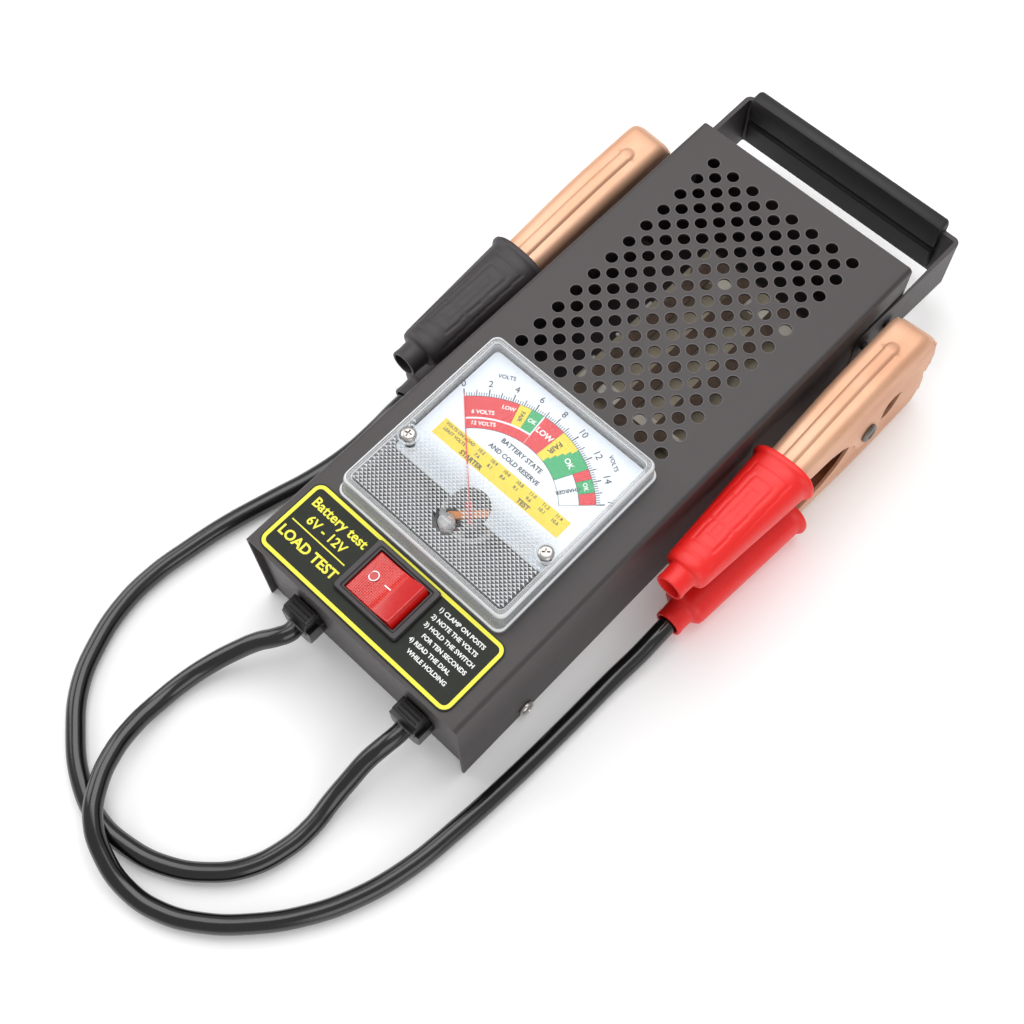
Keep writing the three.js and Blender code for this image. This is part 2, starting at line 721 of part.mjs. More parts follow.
const redRoute = [
  [-28.7, -131.95, 16.5], [-28.7, -134.5, 16.5], [-31, -139, 16], [-36, -145, 13.5], [-41, -153, 9.5],
  [-45, -162, 6.5], [-48, -173, 4.5], [-49, -185, 4.5], [-48, -198, 7], [-44, -211, 10.5],
  [-38, -222, 12.2], [-30, -231, 12], [-18, -237, 9], [-4, -239, 5.5], [10, -236, 4],
  [24, -228, 3.85], [37, -216, 3.85], [48, -202, 3.85], [57, -185, 3.85], [63, -165, 3.85],
  [66, -142, 3.85], [68, -115, 3.85], [69, -85, 3.85], [69.5, -63, 4.5], [70.5, -48, 6.5],
  [70.74, -39, 8.1], [70.74, -32, 8.26], [70.74, -25, 8.26], [70.74, -18.4, 8.26],
];
const blackRoute = [
  [28.7, -131.95, 16.5], [28.7, -134.5, 16.5], [28, -140, 16], [26.5, -148, 13], [26, -157, 9],
  [26, -167, 5.5], [27, -178, 4], [26, -190, 3.85], [21, -204, 3.85], [12, -215, 3.85],
  [-1, -224, 3.85], [-16, -229, 3.85], [-32, -230, 3.85], [-48, -225, 3.85], [-63, -215, 3.85],
  [-76, -202, 3.85], [-84, -187, 3.85], [-89, -170, 3.85], [-90, -153, 3.85], [-88, -136, 3.85],
  [-85, -119, 3.85], [-80, -100, 3.85], [-75, -82, 3.85], [-72, -65, 4.5], [-71, -50, 6.2],
  [-70.74, -40, 8], [-70.74, -32, 8.26], [-70.74, -25, 8.26], [-70.74, -18.4, 8.26],
];

place('strain_relief_left', strainRelief(-reliefX), blackPlastic);
place('strain_relief_right', strainRelief(reliefX), blackPlastic);
place('cable_red', tube(redRoute, cableRadius, 8, 38), cordJacket);
place('cable_black', tube(blackRoute, cableRadius, 8, 38), cordJacket);

// ---- Battery clamps -----------------------------------------------------
// Each clamp is drawn about its rivet: X across, Y towards the jaws, Z up.

function jawHalf(halfWidth) {
  const t = clampSheet;
  const spine = [
    [handleEndV, 18.6], [-60, 19.4], [-36, 20.6], [-12, 23.2], [6, 24], [34, 24], [38.4, 22], [40, 17],
  ];
  const mouth = [
    [39, 10], [36.6, 9.4], [36.8, 5.8], [33.6, 4.6], [33.2, 1.2], [30.2, 2.4], [28.6, 0.9], [26, 2],
    [24.6, 0.9], [21.5, 4.6], [15.5, 7.2], [10.5, 6],
  ];
  const ear = [[8.2, -1], [5.9, -5.9], [0, -8.4], [-5.9, -5.9], [-8.4, 0]];
  const underside = [[-13, 7.2], [-22, 10.8], [-36, 12.4], [handleEndV, 13]];
  const sideView = outline([...spine, ...mouth, ...ear, ...underside]);
  const hollowView = outline([
    [handleEndV - 2, 18.5 - t], [-60, 19.4 - t], [-36, 20.6 - t], [-12, 23.2 - t], [6, 24 - t],
    [33.6, 24 - t], [37.2, 21.2], [38.6, 16.8], [37.6, 9], [37.6, -12], [handleEndV - 2, -12],
  ]);
  const plan = (half) => {
    const tail = half - 2.8;
    return outline([
      [half, -30], [half, 42], [-half, 42], [-half, -30], [-tail, handleEndV - 1], [tail, handleEndV - 1],
    ]);
  };
  const outer = common(extrudeX(sideView, -halfWidth, halfWidth), extrudeZ(plan(halfWidth), -30, 30));
  const hollow = common(
    extrudeX(hollowView, -halfWidth, halfWidth),
    extrudeZ(plan(halfWidth - t), -30, 30),
  );
  const pinHole = rod('x', pinRadius + gap, -halfWidth - 1, halfWidth + 1, [0, 0], 10);
  return cut(outer, hollow, pinHole);
}

function ovalRing(v, halfWidth, halfHeight, w, power) {
  const sides = 16;
  const points = [];
  for (let side = 0; side < sides; side += 1) {
    const angle = side / sides * Math.PI * 2;
    const c = Math.cos(angle);
    const s = Math.sin(angle);
    const x = Math.sign(c) * Math.abs(c) ** (2 / power) * halfWidth;
    const z = Math.sign(s) * Math.abs(s) ** (2 / power) * halfHeight;
    points.push([x, v, w + z]);
  }
  return points;
}

// Vinyl boot: flanged mouth, tapering body, stepped nozzle; open all the way through.
function boot() {
  const skin = loft([
    ovalRing(bootMouthV, 13.4, 9.7, 14.2, 2.6),
    ovalRing(bootMouthV - 1.2, 14, 9.9, 14.1, 2.6),
    ovalRing(bootMouthV - 2.6, 13.8, 9.8, 14.1, 2.6),
    ovalRing(bootMouthV - 3.8, 12.4, 9.3, 14.3, 2.6),
    ovalRing(bootShoulderV + 2, 9.2, 7.2, 16.2, 2.3),
    ovalRing(bootShoulderV, 8.4, 6.8, 16.4, 2),
    ovalRing(bootShoulderV - 0.4, nozzleRadius + 0.2, nozzleRadius + 0.2, nozzleW, 2),
    ovalRing(nozzleEndV, nozzleRadius, nozzleRadius, nozzleW, 2),
  ]);
  const pocket = loft([
    ovalRing(bootMouthV + 2, 9.8, 6.9, 15.3, 6),
    ovalRing(handleEndV - 1, 7.0, 4.6, 15.5, 6),
  ]);
  const bore = rod('y', nozzleBore, nozzleEndV - 1, handleEndV, [0, nozzleW], 12);
  return cut(skin, pocket, bore);
}

function pivotPin() {
  const headInner = upperHalfWidth + gap;
  const heads = [
    rod('x', 4.4, headInner, headInner + 1.6, [0, 0], 12),
    rod('x', 4.4, -headInner - 1.6, -headInner, [0, 0], 12),
  ];
  return join(rod('x', pinRadius, -headInner - 1, headInner + 1, [0, 0], 10), ...heads);
}

// Torsion spring round the pin, with a short leg along each handle.
function clampSpring() {
  const radius = 5.2;
  const turns = 2.5;
  const stepsPerTurn = 8;
  const count = turns * stepsPerTurn;
  const points = [];
  for (let i = 0; i <= count; i += 1) {
    const angle = i / stepsPerTurn * Math.PI * 2;
    points.push([-4.2 + 8.4 * i / count, -radius * Math.sin(angle), radius * Math.cos(angle)]);
  }
  points.unshift([-4.3, -14, 7.2], [-4.3, -7, 6]);
  points.push([4.3, -7, -6], [4.3, -14, -7.2]);
  return tube(points, 0.9, 6, 34);
}

function turnedOver(geometry) {
  return geometry.clone().rotateY(Math.PI);
}

for (const [name, side, vinyl] of [['red', 1, redVinyl], ['black', -1, blackVinyl]]) {
  const clamp = new THREE.Group();
  clamp.position.set(side * clampX, ...clampPivot);
  clamp.rotation.y = -side * THREE.MathUtils.degToRad(clampLean);
  unit.add(clamp);
  place(`${name}_jaw_upper`, jawHalf(upperHalfWidth), copperPlate, clamp);
  place(`${name}_jaw_lower`, turnedOver(jawHalf(lowerHalfWidth)), copperPlate, clamp);
  place(`${name}_boot_upper`, boot(), vinyl, clamp);
  place(`${name}_boot_lower`, turnedOver(boot()), vinyl, clamp);
  place(`${name}_pivot_pin`, pivotPin(), springSteel, clamp);
  place(`${name}_spring`, clampSpring(), springSteel, clamp);
}

export default tester;
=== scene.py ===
from math import cos, degrees, hypot, pi, radians, sin, sqrt

import bmesh
import bpy
from mathutils import Matrix, Vector


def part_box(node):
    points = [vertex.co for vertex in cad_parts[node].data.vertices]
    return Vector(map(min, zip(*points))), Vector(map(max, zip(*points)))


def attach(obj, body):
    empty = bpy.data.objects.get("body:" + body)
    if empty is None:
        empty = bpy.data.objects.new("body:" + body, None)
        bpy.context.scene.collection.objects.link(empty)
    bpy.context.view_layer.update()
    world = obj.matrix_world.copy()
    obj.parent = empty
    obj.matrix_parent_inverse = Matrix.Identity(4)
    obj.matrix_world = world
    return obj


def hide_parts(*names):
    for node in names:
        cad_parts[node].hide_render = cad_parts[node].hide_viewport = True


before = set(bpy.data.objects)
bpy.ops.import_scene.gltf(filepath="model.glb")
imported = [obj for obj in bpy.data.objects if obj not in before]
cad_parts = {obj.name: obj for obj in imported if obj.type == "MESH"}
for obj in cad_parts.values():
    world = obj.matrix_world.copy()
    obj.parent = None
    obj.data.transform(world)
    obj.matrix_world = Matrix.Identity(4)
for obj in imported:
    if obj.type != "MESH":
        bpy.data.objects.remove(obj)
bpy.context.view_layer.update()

scene = bpy.context.scene

# ---- Case frame: lengths below are millimetres from the case's own centre ----

MM = 0.001
CASE = Matrix.Translation((0, -0.016, 0)) @ Matrix.Scale(MM, 4)
CLAMP_X, CLAMP_Y, CLAMP_Z, CLAMP_LEAN = 69.3, 74.0, 24.7, 5.0


def clamp_frame(side, lower=False):
    place = CASE @ Matrix.Translation((side * CLAMP_X, CLAMP_Y, CLAMP_Z))
    place = place @ Matrix.Rotation(radians(-side * CLAMP_LEAN), 4, "Y")
    return place @ Matrix.Rotation(pi, 4, "Y") if lower else place


def top_of(node):
    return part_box(node)[1][2] / MM


# ---- Camera ----

def aim_camera(position, azimuth, elevation, roll, lens):
    az, el, tilt = radians(azimuth), radians(elevation), radians(roll)
    forward = Vector((-sin(az) * cos(el), cos(az) * cos(el), -sin(el)))
    level = Vector((cos(az), sin(az), 0))
    upright = level.cross(forward)
    right = level * cos(tilt) + upright * sin(tilt)
    up = upright * cos(tilt) - level * sin(tilt)
    data = bpy.data.cameras.new("camera")
    data.lens = lens
    data.sensor_width = 36
    data.clip_start = 0.01
    camera = bpy.data.objects.new("camera", data)
    scene.collection.objects.link(camera)
    turn = Matrix((right, up, -forward)).transposed().to_4x4()
    camera.matrix_world = Matrix.Translation(CASE @ Vector(position)) @ turn
    scene.camera = camera


aim_camera((163.4, -201.7, 528.6), 46, 65.83, -2.7, 50.95)

# ---- Materials ----


def srgb(red, green, blue):
    return [(c / 255 / 12.92) if c <= 10 else ((c / 255 + 0.055) / 1.055) ** 2.4 for c in (red, green, blue)]


class Nodes:
    """Short way to wire one material."""

    def __init__(self, name):
        self.material = bpy.data.materials.new(name)
        self.material.use_nodes = True
        self.tree = self.material.node_tree
        self.shader = self.tree.nodes["Principled BSDF"]
        self.output = self.tree.nodes["Material Output"]

    def add(self, kind, **values):
        node = self.tree.nodes.new(kind)
        for key, value in values.items():
            if isinstance(value, bpy.types.NodeSocket):
                self.tree.links.new(value, node.inputs[key.replace("_", " ")])
            elif key.replace("_", " ") in node.inputs:
                node.inputs[key.replace("_", " ")].default_value = value
            else:
                setattr(node, key, value)
        return node

    def link(self, source, target):
        self.tree.links.new(source, target)

    def where(self):
        return self.add("ShaderNodeTexCoord").outputs["Object"]

    def noise(self, scale, detail=3.0, stretch=None, rough=0.55):
        point = self.where()
        if stretch:
            mapping = self.add("ShaderNodeMapping", Vector=point)
            mapping.inputs["Scale"].default_value = stretch
            point = mapping.outputs[0]
        node = self.add("ShaderNodeTexNoise", Vector=point, Scale=scale, Detail=detail, Roughness=rough)
        return node.outputs["Fac"]

    def ramp(self, source, stops):
        node = self.add("ShaderNodeValToRGB", Fac=source)
        elements = node.color_ramp.elements
        while len(elements) < len(stops):
            elements.new(0.5)
        for element, (position, color) in zip(elements, stops):
            element.position = position
            element.color = (*color, 1)
        return node.outputs["Color"]

    def spread(self, source, low, high):
        return self.add("ShaderNodeMapRange", Value=source, To_Min=low, To_Max=high).outputs["Result"]

    def bump(self, height, strength, distance, below=None):
        node = self.add("ShaderNodeBump", Height=height, Strength=strength, Distance=distance)
        if below:
            self.link(below, node.inputs["Normal"])
        return node.outputs["Normal"]

    def finish(self, **sockets):
        for key, value in sockets.items():
            self.shader.inputs[key.replace("_", " ")].default_value = value
        return self.material


def tint(color, factor):
    return [min(1.0, c * factor) for c in color]


def surface(name, color, rough, metal=0.0, grain=900, vary=0.12, rough_vary=0.08, bump=0.15, depth=0.0001,
            fine=None, stretch=None, **sockets):
    """A material whose tone, gloss and relief drift with a coarse and a fine noise."""
    n = Nodes(name)
    cloud = n.noise(grain / 12, 4.0, stretch)
    speck = n.noise(fine or grain, 2.0, stretch)
    mixed = n.add("ShaderNodeMath", operation="ADD")
    n.link(cloud, mixed.inputs[0])
    n.link(speck, mixed.inputs[1])
    half = n.add("ShaderNodeMath", operation="MULTIPLY")
    n.link(mixed.outputs[0], half.inputs[0])
    half.inputs[1].default_value = 0.5
    tone = n.ramp(half.outputs[0], [(0.3, tint(color, 1 - vary)), (0.7, tint(color, 1 + vary))])
    n.link(tone, n.shader.inputs["Base Color"])
    n.link(n.spread(cloud, max(0.02, rough - rough_vary), rough + rough_vary), n.shader.inputs["Roughness"])
    if bump:
        n.link(n.bump(speck, bump, depth), n.shader.inputs["Normal"])
    n.finish(Metallic=metal, **sockets)
    return n.material


def ink(name, color, rough=0.45):
    """Screen-printed ink: nearly even, with a faint mottle."""
    return surface(name, color, rough, grain=1500, vary=0.05, rough_vary=0.05, bump=0.03, depth=0.00002)


def clear_sheet(name):
    """A thin flat clear sheet: a sheen that grows at slanting angles, and the rest straight through."""
    n = Nodes(name)
    passing = n.add("ShaderNodeBsdfTransparent")
    passing.inputs["Color"].default_value = (0.99, 0.995, 1, 1)
    haze = n.noise(300, 3.0)
    gloss = n.add("ShaderNodeBsdfGlossy")
    n.link(n.spread(haze, 0.04, 0.12), gloss.inputs["Roughness"])
    slant = n.add("ShaderNodeLayerWeight", Blend=0.5)
    steep = n.add("ShaderNodeMath", operation="POWER")
    n.link(slant.outputs["Facing"], steep.inputs[0])
    steep.inputs[1].default_value = 5.0
    mix = n.add("ShaderNodeMixShader")
    n.link(n.spread(steep.outputs[0], 0.02, 0.7), mix.inputs[0])
    n.link(passing.outputs[0], mix.inputs[1])
    n.link(gloss.outputs[0], mix.inputs[2])
    n.link(mix.outputs[0], n.output.inputs["Surface"])
    return n.material


def copper():
    n = Nodes("copper_plate")
    cloud = n.noise(60, 5.0, (1, 0.35, 1))
    streak = n.noise(1400, 2.0, (1, 0.06, 1))
    tone = n.ramp(cloud, [
        (0.30, srgb(212, 158, 126)), (0.50, srgb(222, 172, 140)), (0.72, srgb(228, 182, 153)),
    ])
    n.link(tone, n.shader.inputs["Base Color"])
    n.link(n.spread(cloud, 0.56, 0.4), n.shader.inputs["Roughness"])
    n.link(n.bump(streak, 0.12, 0.00006), n.shader.inputs["Normal"])
    n.finish(Metallic=0.45)
    return n.material


def jacket():
    n = Nodes("cord_jacket")
    cloud = n.noise(120, 3.0)
    n.link(n.ramp(cloud, [(0.3, srgb(6, 5, 6)), (0.7, srgb(14, 13, 14))]), n.shader.inputs["Base Color"])
    n.link(n.spread(cloud, 0.14, 0.24), n.shader.inputs["Roughness"])
    n.link(n.bump(n.noise(2600, 2.0), 0.08, 0.00005), n.shader.inputs["Normal"])
    n.finish(Specular_IOR_Level=0.75)
    return n.material


def steel(name, color, rough):
    return surface(name, color, rough, metal=0.95, grain=2400, vary=0.1, rough_vary=0.06, bump=0.06,
                   depth=0.00003)


PAINT = surface("case_paint", srgb(57, 51, 52), 0.5, grain=2600, vary=0.06, rough_vary=0.05, bump=0.22,
                depth=0.00005, Specular_IOR_Level=0.55)
# A lighter, glossier copy of the case paint for the tray's walls and the strap screws: painted light, the
# same paint brightened.
WALL = surface("wall_paint_lit_copy", srgb(64, 58, 59), 0.46, grain=2600, vary=0.06, rough_vary=0.05, bump=0.22,
               depth=0.00005, Specular_IOR_Level=0.6)
# The rims' colour is lighter than the case paint. It is a painted highlight along the edges of the vent
# holes.
RIM = surface("vent_edge_highlight", srgb(92, 86, 87), 0.36, metal=0.1, grain=2600, vary=0.1, bump=0.1, depth=0.00003)
RUBBER = surface("grip_rubber", srgb(30, 28, 29), 0.55, grain=2200, vary=0.12, bump=0.35, depth=0.00008)
MOULD = surface("black_moulding", srgb(20, 18, 19), 0.3, grain=2000, vary=0.12, bump=0.2, depth=0.00005)
BEZEL = surface("switch_bezel", srgb(46, 43, 46), 0.42, grain=2400, vary=0.08, bump=0.25, depth=0.00005)
RED_VINYL = surface("boot_red", srgb(236, 30, 26), 0.42, grain=1500, vary=0.05, bump=0.22, depth=0.00007,
                    Subsurface_Weight=0.12, Subsurface_Radius=(0.004, 0.001, 0.001), Subsurface_Scale=0.5)
BLACK_VINYL = surface("boot_black", srgb(50, 45, 47), 0.5, grain=1500, vary=0.08, bump=0.3, depth=0.00007)
COPPER = copper()
JACKET = jacket()
LEAD = surface("lead_red", srgb(150, 24, 20), 0.45, grain=900, vary=0.1)
ZINC = steel("plated_steel", srgb(196, 192, 188), 0.28)
SPRING = steel("spring_steel", srgb(120, 116, 112), 0.35)
BRASS = steel("terminal_brass", srgb(214, 176, 96), 0.3)
IRON = surface("magnet_iron", srgb(176, 173, 168), 0.45, metal=0.3, grain=1800, vary=0.1)
COIL = surface("coil_wire", srgb(214, 128, 52), 0.35, metal=0.5, grain=3000, vary=0.25, stretch=(1, 1, 5))
RIBBON = surface("resistance_ribbon", srgb(84, 66, 54), 0.5, metal=0.5, grain=500, vary=0.45, rough_vary=0.15)
BOARD = surface("insulation_board", srgb(196, 184, 162), 0.8, grain=700, vary=0.14, bump=0.4)
CERAMIC = surface("ceramic_bar", srgb(226, 220, 206), 0.6, grain=900, vary=0.08)
CARD = surface("dial_card", srgb(238, 244, 252), 0.4, grain=900, vary=0.015, rough_vary=0.04, bump=0.03)
LABEL = surface("label_film", srgb(21, 26, 15), 0.5, grain=2200, vary=0.08, bump=0.25, depth=0.00003,
                Specular_IOR_Level=0.3)
YELLOW = ink("label_yellow", srgb(242, 236, 60))
WHITE = ink("print_white", srgb(238, 240, 236))
DIAL_BLACK = ink("print_grey", srgb(34, 38, 48))
DIAL_RED = ink("dial_red", srgb(222, 36, 46))
DIAL_YELLOW = ink("dial_yellow", srgb(244, 214, 40))
DIAL_GREEN = ink("dial_green", srgb(30, 170, 100))
POINTER = ink("pointer_red", srgb(236, 70, 60))
CLEAR_TOP = clear_sheet("clear_sheet")
# The whitish base of the clear moulding, mixed in with its partial transparency, is painted reflection
# standing in for the light the clear walls throw back.
CLEAR_WALL = surface("clear_moulding", srgb(246, 249, 251), 0.06, grain=300, vary=0.03, rough_vary=0.03,
                     bump=0.02, Transmission_Weight=0.6, IOR=1.4, Alpha=0.58)
# A near-white, partly see-through colour for chosen facets of clear parts: painted highlights.
PAINTED_GLINT = surface("painted_glint_facet", srgb(244, 246, 248), 0.22, grain=900, vary=0.04, bump=0.02, Alpha=0.8)
# The rocker's faint red emission is a painted glow; the switch holds no lamp.
CLEAR_RED = surface("rocker_red", srgb(190, 5, 7), 0.14, grain=500, vary=0.12, rough_vary=0.05, bump=0.04,
                    Coat_Weight=0.35, Coat_Roughness=0.08, Emission_Color=(0.9, 0.02, 0.01, 1),
                    Emission_Strength=0.08)
DOT_RED = surface("rocker_points", srgb(255, 84, 70), 0.2, grain=500, vary=0.06, bump=0.02)

# ---- Geometry helpers: a shape is a list of points and a list of faces ----


WELD = 2e-6


def merge(*shapes):
    points, faces = [], []
    for some_points, some_faces in shapes:
        start = len(points)
        points.extend(some_points)
        faces.extend([tuple(i + start for i in face) for face in some_faces])
    return points, faces


def moved(shape, matrix):
    return [tuple(matrix @ Vector(p)) for p in shape[0]], shape[1]


def shift(shape, x, y, z):
    return moved(shape, Matrix.Translation((x, y, z)))


def skin(rings, cap=True, loop=False):
    """Quads through equal rings, capped at both ends or closed on itself."""
    count = len(rings[0])
    points = [tuple(p) for ring in rings for p in ring]
    faces = []
    for r in range(len(rings) if loop else len(rings) - 1):
        a, b = r * count, (r + 1) % len(rings) * count
        for i in range(count):
            j = (i + 1) % count
            faces.append((a + i, a + j, b + j, b + i))
    if cap and not loop:
        faces.append(tuple(reversed(range(count))))
        faces.append(tuple(range((len(rings) - 1) * count, len(rings) * count)))
    return points, faces


def prism(outline, low, high):
    return skin([[(x, y, z) for x, y in outline] for z in (low, high)])


def along_y(outline, low, high):
    return skin([[(x, y, z) for x, z in outline] for y in (low, high)])


def along_x(outline, low, high):
    return skin([[(x, y, z) for y, z in outline] for x in (low, high)])


def block(low, high):
    outline = [(low[0], low[1]), (high[0], low[1]), (high[0], high[1]), (low[0], high[1])]
    return prism(outline, low[2], high[2])


def arc(cx, cy, radius, start, end, steps):
    return [(cx + radius * cos(radians(start + (end - start) * i / steps)),
             cy + radius * sin(radians(start + (end - start) * i / steps))) for i in range(steps + 1)]


def rounded(low, high, radius, steps=5):
    points = []
    for cx, cy, start in ((high[0] - radius, high[1] - radius, 0), (low[0] + radius, high[1] - radius, 90),
                          (low[0] + radius, low[1] + radius, 180), (high[0] - radius, low[1] + radius, 270)):
        points.extend(arc(cx, cy, radius, start, start + 90, steps))
    return points


def around(count):
    return [2 * pi * i / count for i in range(count)]


def circle(radius, count, x=0.0, y=0.0):
    return [(x + radius * cos(a), y + radius * sin(a)) for a in around(count)]


def turned(profile, count=24, x=0.0, y=0.0):
    """A lathe shape about a vertical line; the profile is (radius, height), closed by flat caps."""
    return skin([[(px, py, z) for px, py in circle(max(r, 0.01), count, x, y)] for r, z in profile])


def baked(thing):
    """The points and faces of an object once its modifiers and extrusion are worked out."""
    mesh = bpy.data.meshes.new_from_object(thing.evaluated_get(bpy.context.evaluated_depsgraph_get()))
    shape = [tuple(v.co) for v in mesh.vertices], [tuple(p.vertices) for p in mesh.polygons]
    bpy.data.meshes.remove(mesh)
    return shape


def plate_with_holes(outline, holes, low, high):
    """A flat plate cut by any number of outlines."""
    curve = bpy.data.curves.new("plate", "CURVE")
    curve.dimensions = "2D"
    curve.fill_mode = "BOTH"
    curve.extrude = (high - low) / 2
    for loop in [outline, *holes]:
        spline = curve.splines.new("POLY")
        spline.points.add(len(loop) - 1)
        for point, (x, y) in zip(spline.points, loop):
            point.co = (x, y, 0, 1)
        spline.use_cyclic_u = True
    holder = bpy.data.objects.new("plate", curve)
    scene.collection.objects.link(holder)
    shape = shift(baked(holder), 0, 0, (low + high) / 2)
    bpy.data.objects.remove(holder)
    bpy.data.curves.remove(curve)
    return shape


def letters(items, height, thick, align="CENTER"):
    """Lettering laid flat: each item is (text, x, y, size, angle, boldness)."""
    shapes = []
    for text, x, y, size, angle, bold in items:
        curve = bpy.data.curves.new("letters", "FONT")
        curve.body = text
        curve.size = size
        curve.offset = bold * size
        curve.align_x = align
        curve.align_y = "CENTER"
        curve.extrude = thick / 2
        curve.resolution_u = 3
        holder = bpy.data.objects.new("letters", curve)
        scene.collection.objects.link(holder)
        turn = Matrix.Translation((x, y, height)) @ Matrix.Rotation(radians(angle), 4, "Z")
        shapes.append(moved(baked(holder), turn))
        bpy.data.objects.remove(holder)
        bpy.data.curves.remove(curve)
    return merge(*shapes)


def closed_mesh(name, shape, weld_within=0.0):
    """A mesh whose faces all look outwards."""
    mesh = bpy.data.meshes.new(name)
    mesh.from_pydata(shape[0], [], shape[1])
    work = bmesh.new()
    work.from_mesh(mesh)
    if weld_within:
        bmesh.ops.remove_doubles(work, verts=work.verts, dist=weld_within)
    bmesh.ops.recalc_face_normals(work, faces=work.faces)
    work.to_mesh(mesh)
    work.free()
    return mesh


def piece(name, shape, material, body="unit", stands_for=(), place=CASE, bevel=0.0, segments=2,
          sharp=35, weld=True):
    mesh = closed_mesh(name, moved(shape, place), WELD if weld else 0.0)
    mesh.polygons.foreach_set("use_smooth", [True] * len(mesh.polygons))
    mesh.set_sharp_from_angle(angle=radians(sharp))
    mesh.materials.append(material)
    thing = bpy.data.objects.new(name, mesh)
    scene.collection.objects.link(thing)
    soften(thing, bevel, segments)
    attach(thing, body)
    if stands_for:
        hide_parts(*stands_for)
    return thing


def soften(thing, width, segments=2):
    if width:
        edges = thing.modifiers.new("edges", "BEVEL")
        edges.width = width * MM
        edges.segments = segments
        edges.limit_method = "ANGLE"
        edges.angle_limit = radians(32)
        edges.harden_normals = True


def paint_node(name, material, bevel=0.0):
    """A CAD node that stays, with its own finish and softened edges."""
    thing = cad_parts[name]
    thing.data.materials.clear()
    thing.data.materials.append(material)
    soften(thing, bevel)


# ---- Free cords ----

RED_ROUTE = [
    (-28.7, -131.95, 16.5), (-28.7, -134.5, 16.5), (-31, -139, 16), (-36, -145, 13.5), (-41, -153, 9.5),
    (-45, -162, 6.5), (-48, -173, 4.5), (-49, -185, 4.5), (-48, -198, 7), (-44, -211, 10.5),
    (-38, -222, 12.2), (-30, -231, 12), (-18, -237, 9), (-4, -239, 5.5), (10, -236, 4),
    (24, -228, 3.85), (37, -216, 3.85), (48, -202, 3.85), (57, -185, 3.85), (63, -165, 3.85),
    (66, -142, 3.85), (68, -115, 3.85), (69, -85, 3.85), (69.5, -63, 4.5), (70.5, -48, 6.5),
    (70.74, -39, 8.1), (70.74, -32, 8.26), (70.74, -25, 8.26), (70.74, -18.4, 8.26),
]
BLACK_ROUTE = [
    (28.7, -131.95, 16.5), (28.7, -134.5, 16.5), (28, -140, 16), (26.5, -148, 13), (26, -157, 9),
    (26, -167, 5.5), (27, -178, 4), (26, -190, 3.85), (21, -204, 3.85), (12, -215, 3.85),
    (-1, -224, 3.85), (-16, -229, 3.85), (-32, -230, 3.85), (-48, -225, 3.85), (-63, -215, 3.85),
    (-76, -202, 3.85), (-84, -187, 3.85), (-89, -170, 3.85), (-90, -153, 3.85), (-88, -136, 3.85),
    (-85, -119, 3.85), (-80, -100, 3.85), (-75, -82, 3.85), (-72, -65, 4.5), (-71, -50, 6.2),
    (-70.74, -40, 8), (-70.74, -32, 8.26), (-70.74, -25, 8.26), (-70.74, -18.4, 8.26),
]
CORD_RADIUS = 3.75


def cord(name, route, clamp):
    curve = bpy.data.curves.new(name, "CURVE")
    curve.dimensions = "3D"
    curve.bevel_depth = CORD_RADIUS * MM
    curve.bevel_resolution = 5
    curve.use_fill_caps = True
    curve.resolution_u = 8
    spline = curve.splines.new("BEZIER")
    spline.bezier_points.add(len(route) - 1)
    for knot, point in zip(spline.bezier_points, route):
        knot.co = CASE @ Vector(point)
        knot.handle_left_type = knot.handle_right_type = "AUTO"
    curve.materials.append(JACKET)
    thing = bpy.data.objects.new(name, curve)
    scene.collection.objects.link(thing)
    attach(thing, "unit")
    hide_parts(f"cable_{clamp}")
    return thing


RED_CORD = cord("red_lead_cord", RED_ROUTE, "red")
BLACK_CORD = cord("black_lead_cord", BLACK_ROUTE, "black")

# ---- Case ----

CASE_X, CASE_Y, CASE_Z, BEND, SHEET = 52.8, 126.0, 54.0, 2.2, 1.0
FACE_X = -1.2
VENT_RADIUS = 2.6
VENT_ROWS, VENT_COLUMNS, VENT_STEP_X, VENT_STEP_Y, VENT_START = 12, 8, 10, 10.2, 0.4


def vents():
    """Rows of holes, with a shorter row set half a step on between each two."""
    spots = []
    for row in range(VENT_ROWS):
        y = VENT_START + row * VENT_STEP_Y
        for column in range(VENT_COLUMNS):
            x = FACE_X + (column - (VENT_COLUMNS - 1) / 2) * VENT_STEP_X
            spots.append((x, y))
            if row < VENT_ROWS - 1 and column < VENT_COLUMNS - 1:
                spots.append((x + VENT_STEP_X / 2, y + VENT_STEP_Y / 2))
    return spots


def case_cover():
    flat = CASE_X - BEND - 2
    holes = [circle(VENT_RADIUS, 24, *spot) for spot in vents()]
    holes.append(circle(30.5, 48, FACE_X, -48.2))
    holes.append(rounded((-14.7, -116.6), (13.3, -94.8), 0.5, 2))
    top = plate_with_holes([(-flat, -CASE_Y), (flat, -CASE_Y), (flat, CASE_Y), (-flat, CASE_Y)], holes,
                           CASE_Z - SHEET, CASE_Z)
    sides = []
    for side in (1, -1):
        outer = arc(CASE_X - BEND, CASE_Z - BEND, BEND, 90, 0, 8)
        inner = arc(CASE_X - BEND, CASE_Z - BEND, BEND - SHEET, 0, 90, 8)
        outline = [(flat, CASE_Z), *outer, (CASE_X, 0), (CASE_X - SHEET, 0), *inner, (flat, CASE_Z - SHEET)]
        sides.append(along_y([(side * x, z) for x, z in outline], -CASE_Y, CASE_Y))
    return merge(top, *sides)


